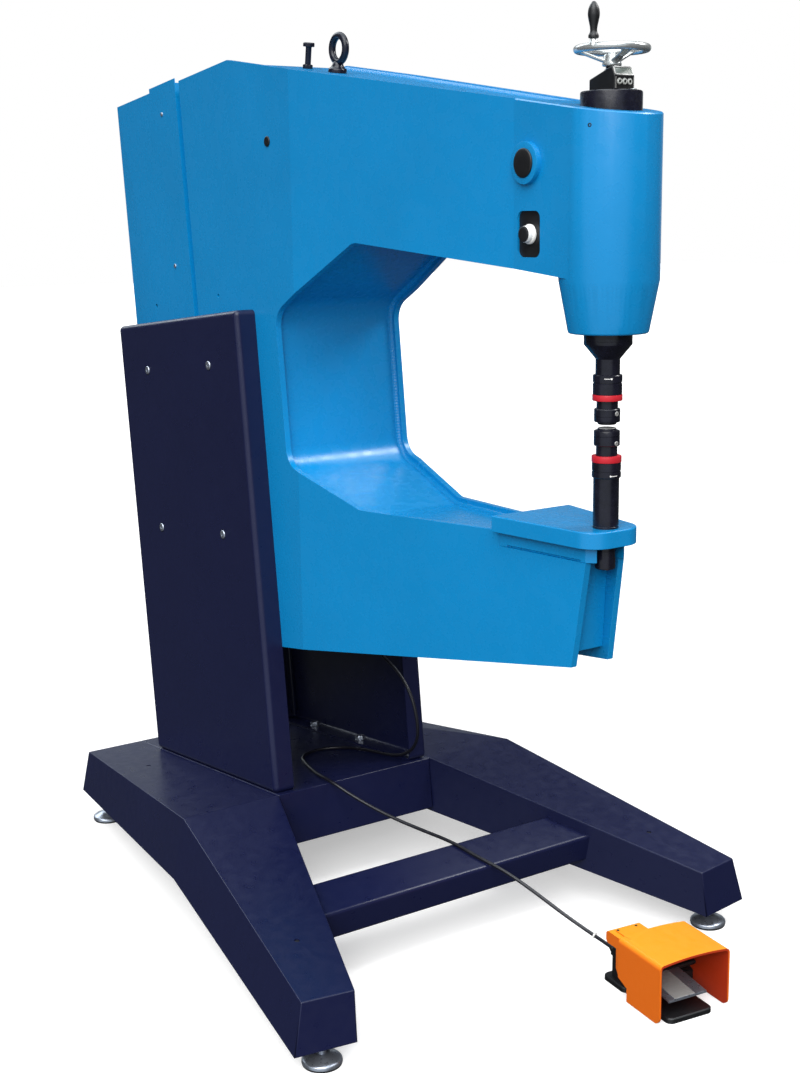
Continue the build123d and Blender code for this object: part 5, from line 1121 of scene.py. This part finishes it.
class FORMER_OT_tooling(bpy.types.Operator):
    """Ram, release collars with their red rings, tools with inserts and set screws, and the post"""

    bl_idname = "former.tooling"
    bl_label = "Tool stack"

    def execute(self, context):
        ram_rod().build("ram_rod", "black_steel", "ram", 30.0, "ram")
        upper = holder(UPPER_RING[1], 1.0, 18.0, 32.0, 19.65)
        upper.build("upper_holder", "black_steel", "upper_collar", 35.0, "upper_release_collar")
        lower = holder(LOWER_RING[0], -1.0, 14.0, 25.2, 21.05)
        lower.build("lower_holder", "black_steel", "lower_collar", 35.0, "lower_release_collar")
        upper = grip_ring(*UPPER_RING)
        upper.build("upper_grip_ring", "red", "upper_collar", 35.0, "upper_red_ring")
        lower = grip_ring(*LOWER_RING)
        lower.build("lower_grip_ring", "red", "lower_collar", 35.0, "lower_red_ring")
        upper = tool(UPPER_FACE, 1091.0, RAM_END, 1.0)
        upper.build("upper_die", "black_steel", "ram", 30.0, "upper_tool")
        lower = tool(LOWER_FACE, 1031.0, POST_TOP, -1.0)
        lower.build("lower_die", "black_steel", "machine", 30.0, "lower_tool")
        insert_and_screw("upper", "ram", UPPER_FACE, 1.0, 18.5)
        insert_and_screw("lower", "machine", LOWER_FACE, -1.0, 24.5)
        die_post().build("die_post", "black_steel", "machine", 30.0, "tool_post")
        collar_mark("upper", "upper_collar", 1140.0, -0.95, -1)
        collar_mark("lower", "lower_collar", 983.5, -0.42, 0)
        return {"FINISHED"}


# Foot switch and levelling feet

TREADLE_TOP = 2.5
TREADLE_RUN = (-81.5, -1.0)
RIB_PITCH = 5.0
CABLE_ENTRY = (-178.0, -40.0, 56.0)
LID_TOP = 115.0
FEET = ((-187.0, 451.5, 54.0), (-1415.0, 303.0, 82.0))


def treadle_sheet():
    """The treadle's ribbed top: the flattened crests of a sine wave, carried across the treadle."""
    ahead = bearing(-TREADLE_SLOPE, PEDAL_AHEAD, UP)
    up = bearing(TREADLE_SLOPE, UP, PEDAL_AHEAD)
    back, front = TREADLE_RUN
    run = np.linspace(back, front, 162)
    ribs = 0.3 + 0.35 * np.clip(np.sin(2 * pi * run / RIB_PITCH), 0.0, 0.6)
    ribs[[0, -1]] = 0.1
    outline = np.concatenate((np.stack((run, ribs), -1), np.array([(front, -0.1), (back, -0.1)])))
    sheet = Shape().prism(outline, pedal(-8.0, 7.6, 36.86) + TREADLE_TOP * up, ahead, up, 44.2)
    sheet.build("treadle_sheet", "steel", "treadle", 35.0)


def switch_fittings():
    """Black housing across the back of the hood, a black sleeve on the treadle's pivot rod that paints its
    shade, cable gland and screws of the lid.
    """
    outline = np.array([(-124.0, 9.8), (-98.1, 9.8), (-98.1, 27.8), (-124.0, 37.4)])
    housing = Shape().prism(outline, pedal(0, 76.0, 0), PEDAL_AHEAD, UP, 80.8)
    bevelled(housing.build("switch_housing", "black_plastic", "machine", 30.0), 0.4)
    # Painted shade: a black sleeve over the treadle's pivot rod, which lies in shade under the treadle.
    profile = [(4.05, -72.2), (4.8, -72.2), (4.8, 72.2), (4.05, 72.2)]
    rod_shade = Shape().lathe(profile, pedal(-95.0, 0, 46.0), PEDAL_LEFT, 40, bore=True)
    rod_shade.build("treadle_rod_shade_sleeve", "black_plastic", "treadle", 30.0)
    hexed = hexagon(21.0)
    rows = [hexed * 0.4, hexed, hexed, hexed * 0.94]
    gland = Shape().stack(rows, [0, 0, 7.4, 8.0], pedal(*CABLE_ENTRY), -PEDAL_AHEAD)
    relief = [(9.0, 7.0), (9.0, 10.5), (8.2, 11.2), (7.6, 11.4), (7.8, 13.2), (6.6, 13.6), (6.9, 15.4)]
    relief += [(5.9, 15.8), (6.1, 17.6), (5.2, 18.0), (5.2, 20.0), (3.6, 20.0), (3.6, 7.0)]
    gland.lathe(relief, pedal(*CABLE_ENTRY), -PEDAL_AHEAD, 40, bore=True)
    gland.build("switch_gland", "black_plastic", "machine", 35.0, "cable_gland")
    lid = Shape()
    for ahead, left in ((-150.0, -60.0), (-150.0, -20.0), (-112.0, -20.0)):
        socket_screw(lid, pedal(ahead, left, LID_TOP), UP, 2.6, 0.8, 2.0, 0.9)
    lid.build("lid_screws", "black_steel", "machine", 35.0)


class FORMER_OT_foot_switch(bpy.types.Operator):
    """Hood, base and steel treadle of the foot switch, with its gland"""

    bl_idname = "former.foot_switch"
    bl_label = "Foot switch"

    def execute(self, context):
        softened("pedal_hood", 1.7, "orange", 4, 25.0)
        softened("pedal_base", 1.2, "black_plastic")
        softened("pedal_plate", 0.6, "zinc")
        treadle_sheet()
        switch_fittings()
        return {"FINISHED"}


class FORMER_OT_feet(bpy.types.Operator):
    """Levelling feet: pads with rubber soles, studs and lock nuts"""

    bl_idname = "former.feet"
    bl_label = "Levelling feet"

    def execute(self, context):
        pads, soles, studs = Shape(), Shape(), Shape()
        dome = [(35.0, 5.5), (34.4, 9.0), (31.5, 11.6), (24.0, 15.0), (16.5, 18.6), (14.0, 20.0)]
        dome = smoothed(dome, 24)
        for x, y, seat in FEET:
            for side in (-1.0, 1.0):
                place = at(x, side * y, 0)
                pads.lathe([(33.8, 3.6), (35.0, 4.2), *dome, (0, 20.0)], place, UP, 72)
                soles.lathe([(33.2, 0), (34.0, 0.8), (34.0, 3.2), (33.0, 3.8), (0, 3.8)], place, UP, 64)
                studs.lathe([(8.0, 19.8), (8.0, seat + 10.0)], place, UP, 32)
                hexagon_head(studs, place + (seat - 10.0) * UP, UP, 24.0, 10.0)
        pads.build("foot_pad_domes", "zinc", "machine", 40.0, "foot_pads")
        soles.build("foot_soles", "rubber", "machine", 40.0)
        studs.build("foot_stud_nuts", "zinc", "machine", 35.0, "foot_studs")
        return {"FINISHED"}


# Stage

CAMERA_PLACE = (1866.9, -1655.6, 1397.3)
CAMERA_RIGHT = Vector((0.559145, 0.82896, -0.013518))
CAMERA_AHEAD = Vector((-0.813345, 0.545306, -0.202758))
PICTURE_HEIGHT = 36.0
WHITE = (1, 1, 1, 1)
ROOM_TINT = (0.86, 0.95, 1.0, 1)
WINDOW_WAY = Vector((0.62, -0.77, 0.15)).normalized()
STRIP_WAY = Vector((-0.82, -0.05, 0.57)).normalized()
SUN_WAY = Vector((-0.48, 0.52, -0.7))
SUN_SPREAD = radians(60.0)
LAMP_POWER = 40.0
LAMPS = (("front", (3.0, -2.4, 2.0), (0.3, 0, 1.2), 1.0), ("side", (1.2, 1.75, 3.1), (0.0, 0, 0.9), 0.8))


class FormerStage(bpy.types.PropertyGroup):
    lens: FloatProperty(
        name="Lens", description="Focal length for a 36 mm high picture", default=51.89, unit="CAMERA"
    )
    floor_size: FloatProperty(name="Floor", description="Side of the floor", default=60.0, unit="LENGTH")
    floor_colour: FloatVectorProperty(
        name="Floor colour", description="Pale floor round the machine",
        default=(0.72, 0.72, 0.72), subtype="COLOR"
    )
    far_colour: FloatVectorProperty(
        name="Far floor", description="Paler floor in the distance",
        default=(0.86, 0.86, 0.86), subtype="COLOR"
    )
    floor_glow: FloatProperty(name="Floor glow", description="Light that the floor gives off", default=0.42)
    sky: FloatProperty(name="Sky", description="Strength of the light from above and the sides", default=0.6)
    low_sky: FloatProperty(name="Low sky", description="Strength of the light from below", default=0.15)
    room: FloatProperty(name="Room", description="Strength of the dim room in reflections", default=0.07)
    window: FloatProperty(name="Window", description="Strength of the window behind the camera", default=0.8)
    paper: FloatProperty(name="Paper", description="Strength of the paper behind the machine", default=0.7)
    ceiling: FloatProperty(name="Ceiling", description="Strength of the ceiling in reflections", default=2.8)
    strip: FloatProperty(name="Strip", description="Strength of the strip light above the rear", default=3.6)
    sun: FloatProperty(name="Sun", description="Strength of the broad light from the front", default=3.3)


def place_camera(scene, look):
    """The camera of the photograph, from its place and two of its directions."""
    camera = bpy.data.objects.new("camera", bpy.data.cameras.new("camera"))
    scene.collection.objects.link(camera)
    camera.data.lens = look.lens
    camera.data.sensor_width = PICTURE_HEIGHT
    turn = Matrix((CAMERA_RIGHT, CAMERA_RIGHT.cross(CAMERA_AHEAD), -CAMERA_AHEAD)).transposed()
    camera.matrix_world = Matrix.Translation(Vector(at(*CAMERA_PLACE) * MM)) @ turn.to_4x4()
    scene.camera = camera


def lay_floor(scene, look):
    """A plain pale floor that glows a little and grows paler far off."""
    half = look.floor_size / 2
    mesh = bpy.data.meshes.new("floor")
    corners = [(-half, -half, 0), (half, -half, 0), (half, half, 0), (-half, half, 0)]
    mesh.from_pydata(corners, [], [(0, 1, 2, 3)])
    ground = Finish("floor", tuple(look.floor_colour), 0.9, specular=0.0)
    reach = ground.node("VectorMath", Vector=ground.place)
    reach.operation = "LENGTH"
    fade = ground.between(reach.outputs["Value"], 0.0, 1.0, 2.0, 9.0)
    ground.mottle(fade, tuple(look.floor_colour), tuple(look.far_colour))
    ground.shader.inputs["Emission Color"].default_value = WHITE
    ground.shader.inputs["Emission Strength"].default_value = look.floor_glow
    mesh.materials.append(ground.material)
    floor = bpy.data.objects.new("floor", mesh)
    scene.collection.objects.link(floor)
    floor.visible_diffuse = False
    floor.visible_glossy = False


def reflected_room(studio, look, way, height):
    """Strength of the room in reflections: paper low down behind the machine, window, ceiling and strip."""
    behind = studio.reach(way, Vector((CAMERA_AHEAD.x, CAMERA_AHEAD.y, 0.0)).normalized())
    paper = studio.between(height, look.paper, 0.0, 0.06, 0.22)
    paper = studio.paired("MULTIPLY", studio.between(behind, 0.0, 1.0, 0.75, 0.9), paper)
    paper = studio.paired("MULTIPLY", paper, studio.between(height, 0.0, 1.0, -0.08, -0.03))
    window = studio.between(studio.reach(way, WINDOW_WAY), look.room, look.window, 0.5, 0.68)
    ceiling = studio.between(height, 0.0, look.ceiling, 0.7, 0.82)
    strip = studio.between(studio.reach(way, STRIP_WAY), 0.0, look.strip, 0.93, 0.975)
    walls = studio.paired("ADD", paper, window)
    return studio.paired("ADD", walls, studio.paired("ADD", ceiling, strip))


def light_world(scene, look):
    """A white backdrop for the camera, a room for reflections, and a graded sky for all other light."""
    world = bpy.data.worlds.new("studio")
    world.use_nodes = True
    studio = Nodes(world.node_tree)
    sky = studio.tree.nodes["Background"]
    room, backdrop = studio.node("Background"), studio.node("Background")
    for shader, colour in ((sky, WHITE), (room, ROOM_TINT), (backdrop, WHITE)):
        shader.inputs["Color"].default_value = colour
    way = studio.node("TexCoord").outputs["Generated"]
    height = studio.reach(way, UP)
    studio.put(sky.inputs["Strength"], studio.between(height, look.low_sky, look.sky, -0.4, 0.2))
    studio.put(room.inputs["Strength"], reflected_room(studio, look, way, height))
    rays = studio.node("LightPath").outputs
    under = sky.outputs[0]
    for ray, over in (("Is Glossy Ray", room), ("Is Camera Ray", backdrop)):
        mix = studio.node("MixShader")
        for socket, source in zip(mix.inputs, (rays[ray], under, over.outputs[0])):
            studio.put(socket, source)
        under = mix.outputs[0]
    studio.put(studio.tree.nodes["World Output"].inputs["Surface"], under)
    scene.world = world


def hang_lights(scene, look):
    """A broad sun from the front, and two square lamps; the front one stays out of reflections."""
    sun = bpy.data.objects.new("sun", bpy.data.lights.new("sun", "SUN"))
    sun.data.energy = look.sun
    sun.data.angle = SUN_SPREAD
    sun.rotation_euler = SUN_WAY.to_track_quat("-Z", "Y").to_euler()
    scene.collection.objects.link(sun)
    for name, place, target, size in LAMPS:
        lamp = bpy.data.lights.new(name, "AREA")
        lamp.size = size
        lamp.energy = LAMP_POWER
        item = bpy.data.objects.new(name, lamp)
        item.location = place
        item.rotation_euler = (Vector(target) - Vector(place)).to_track_quat("-Z", "Y").to_euler()
        item.visible_glossy = name != "front"
        scene.collection.objects.link(item)


class FORMER_OT_stage(bpy.types.Operator):
    """Floor, lights and the camera"""

    bl_idname = "former.stage"
    bl_label = "Stage"

    def execute(self, context):
        scene = context.scene
        scene.view_settings.view_transform = "Standard"
        place_camera(scene, scene.former_stage)
        lay_floor(scene, scene.former_stage)
        light_world(scene, scene.former_stage)
        hang_lights(scene, scene.former_stage)
        return {"FINISHED"}


# Foot cable

CABLE_POINTS = [
    (-890.0, 100.0, 535.5), (-890.0, 100.0, 505.5), (-872.0, 107.0, 478.0), (-838.0, 114.0, 460.0),
    (-790.0, 121.0, 434.0), (-752.0, 125.0, 394.0), (-737.0, 129.0, 340.0), (-746.0, 135.0, 292.0),
    (-786.0, 139.0, 252.0), (-846.0, 138.0, 228.5), (-930.0, 130.0, 219.5), (-1004.0, 106.0, 211.5),
    (-1034.0, 50.0, 208.3), (-1004.0, -8.0, 211.5), (-930.0, -34.0, 219.4), (-846.0, -58.0, 228.5),
    (-776.0, -70.0, 239.0), (-724.0, -42.0, 211.0), (-650.0, -4.0, 184.0), (-572.0, 26.0, 172.0),
    (-496.0, 44.0, 168.8), (-424.0, 56.0, 158.0), (-366.0, 74.0, 147.0), (-308.0, 98.0, 121.0),
    (-252.0, 121.0, 92.0), (-206.0, 143.0, 68.0),
]
CABLE_RUN_IN = (-224.0, -40.0, 56.0)
TIE_PLACE = (-248.0, -36.0, 62.0)


class FormerCable(bpy.types.PropertyGroup):
    diameter: FloatProperty(
        name="Cable", description="Diameter of the foot cable", default=0.007, unit="LENGTH"
    )


def cable_curve(route, diameter):
    """A round cable along a smooth curve that its route's points pull on."""
    curve = bpy.data.curves.new("foot_cable_line", "CURVE")
    curve.dimensions = "3D"
    curve.bevel_depth = diameter / 2
    curve.bevel_resolution = 4
    curve.use_fill_caps = True
    spline = curve.splines.new("NURBS")
    spline.points.add(len(route) - 1)
    spline.points.foreach_set("co", np.column_stack((route, np.ones(len(route)))).ravel())
    spline.order_u = 3
    spline.use_endpoint_u = True
    spline.resolution_u = 12
    curve.materials.append(FINISH["jacket"])
    return bpy.data.objects.new("foot_cable_line", curve)


def middle_line(cable):
    """Points along the middle of a cable, in millimetres."""
    line = cable.copy()
    line.data = cable.data.copy()
    line.data.bevel_depth = 0.0
    line.data.resolution_u = 24
    run = bpy.data.meshes.new_from_object(line)
    points = np.empty(3 * len(run.vertices))
    run.vertices.foreach_get("co", points)
    bpy.data.curves.remove(line.data)
    bpy.data.meshes.remove(run)
    return points.reshape(-1, 3) / MM


def cable_tie(points, radius):
    """A band round the cable where it comes nearest to the tie's place, and its lock on top."""
    here = int(np.argmin(np.linalg.norm(points - pedal(*TIE_PLACE), axis=1)))
    _, rise, along = square_to(points[here + 1] - points[here - 1])
    rise = rise * np.sign(rise[2])
    band = [(-0.05, -1.6), (0.9, -1.6), (1.1, 0.0), (0.9, 1.6), (-0.05, 1.6)]
    tie = Shape().lathe(np.array(band) + (radius, 0.0), points[here], along, 32, bore=True)
    lock = rounded_rectangle(5.0, 5.0, 0.8, 4)
    tie.prism(lock, points[here] + (radius + 0.4) * rise, np.cross(along, rise), along, 4.0)
    tie.build("cable_tie", "white_plastic", "machine", 40.0)


class FORMER_OT_cable(bpy.types.Operator):
    """Foot cable from the frame to the foot switch, and its tie"""

    bl_idname = "former.cable"
    bl_label = "Foot cable"

    def execute(self, context):
        look = context.scene.former_cable
        route = [at(*point) for point in CABLE_POINTS] + [pedal(*CABLE_RUN_IN), pedal(*CABLE_ENTRY)]
        route = np.array(route) * MM
        cable = cable_curve(route, look.diameter)
        context.scene.collection.objects.link(cable)
        cable_tie(middle_line(cable), look.diameter / 2 / MM)
        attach(cable, "machine")
        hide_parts("foot_cable")
        return {"FINISHED"}


# Add-on

GROUPS = {
    "former_finishes": FormerFinishes,
    "former_head": FormerHead,
    "former_wheel": FormerWheel,
    "former_cable": FormerCable,
    "former_stage": FormerStage,
}
OPERATORS = (
    FORMER_OT_stage,
    FORMER_OT_cable,
    FORMER_OT_steelwork,
    FORMER_OT_welds,
    FORMER_OT_fasteners,
    FORMER_OT_lifting,
    FORMER_OT_head,
    FORMER_OT_indicator,
    FORMER_OT_handwheel,
    FORMER_OT_tooling,
    FORMER_OT_foot_switch,
    FORMER_OT_feet,
)


class FORMER_PT_sidebar(bpy.types.Panel):
    """Sizes and colours, and a button for each group of pieces"""

    bl_idname = "FORMER_PT_sidebar"
    bl_label = "Forming machine"
    bl_space_type = "VIEW_3D"
    bl_region_type = "UI"
    bl_category = "Former"

    def draw(self, context):
        for name, group in GROUPS.items():
            box = self.layout.box()
            for key in group.__annotations__:
                box.prop(getattr(context.scene, name), key)
        for item in OPERATORS:
            self.layout.operator(item.bl_idname)


CLASSES = (*GROUPS.values(), *OPERATORS, FORMER_PT_sidebar)


def register():
    for item in CLASSES:
        bpy.utils.register_class(item)
    for name, group in GROUPS.items():
        setattr(bpy.types.Scene, name, PointerProperty(type=group))


def unregister():
    for name in GROUPS:
        delattr(bpy.types.Scene, name)
    for item in reversed(CLASSES):
        bpy.utils.unregister_class(item)


def main():
    register()
    make_finishes(bpy.context.scene.former_finishes)
    bpy.ops.former.stage()
    bpy.ops.former.cable()
    bpy.ops.former.steelwork()
    bpy.ops.former.welds()
    bpy.ops.former.fasteners()
    bpy.ops.former.lifting()
    bpy.ops.former.head()
    bpy.ops.former.indicator()
    bpy.ops.former.handwheel()
    bpy.ops.former.tooling()
    bpy.ops.former.foot_switch()
    bpy.ops.former.feet()


if __name__ == "__main__":
    main()
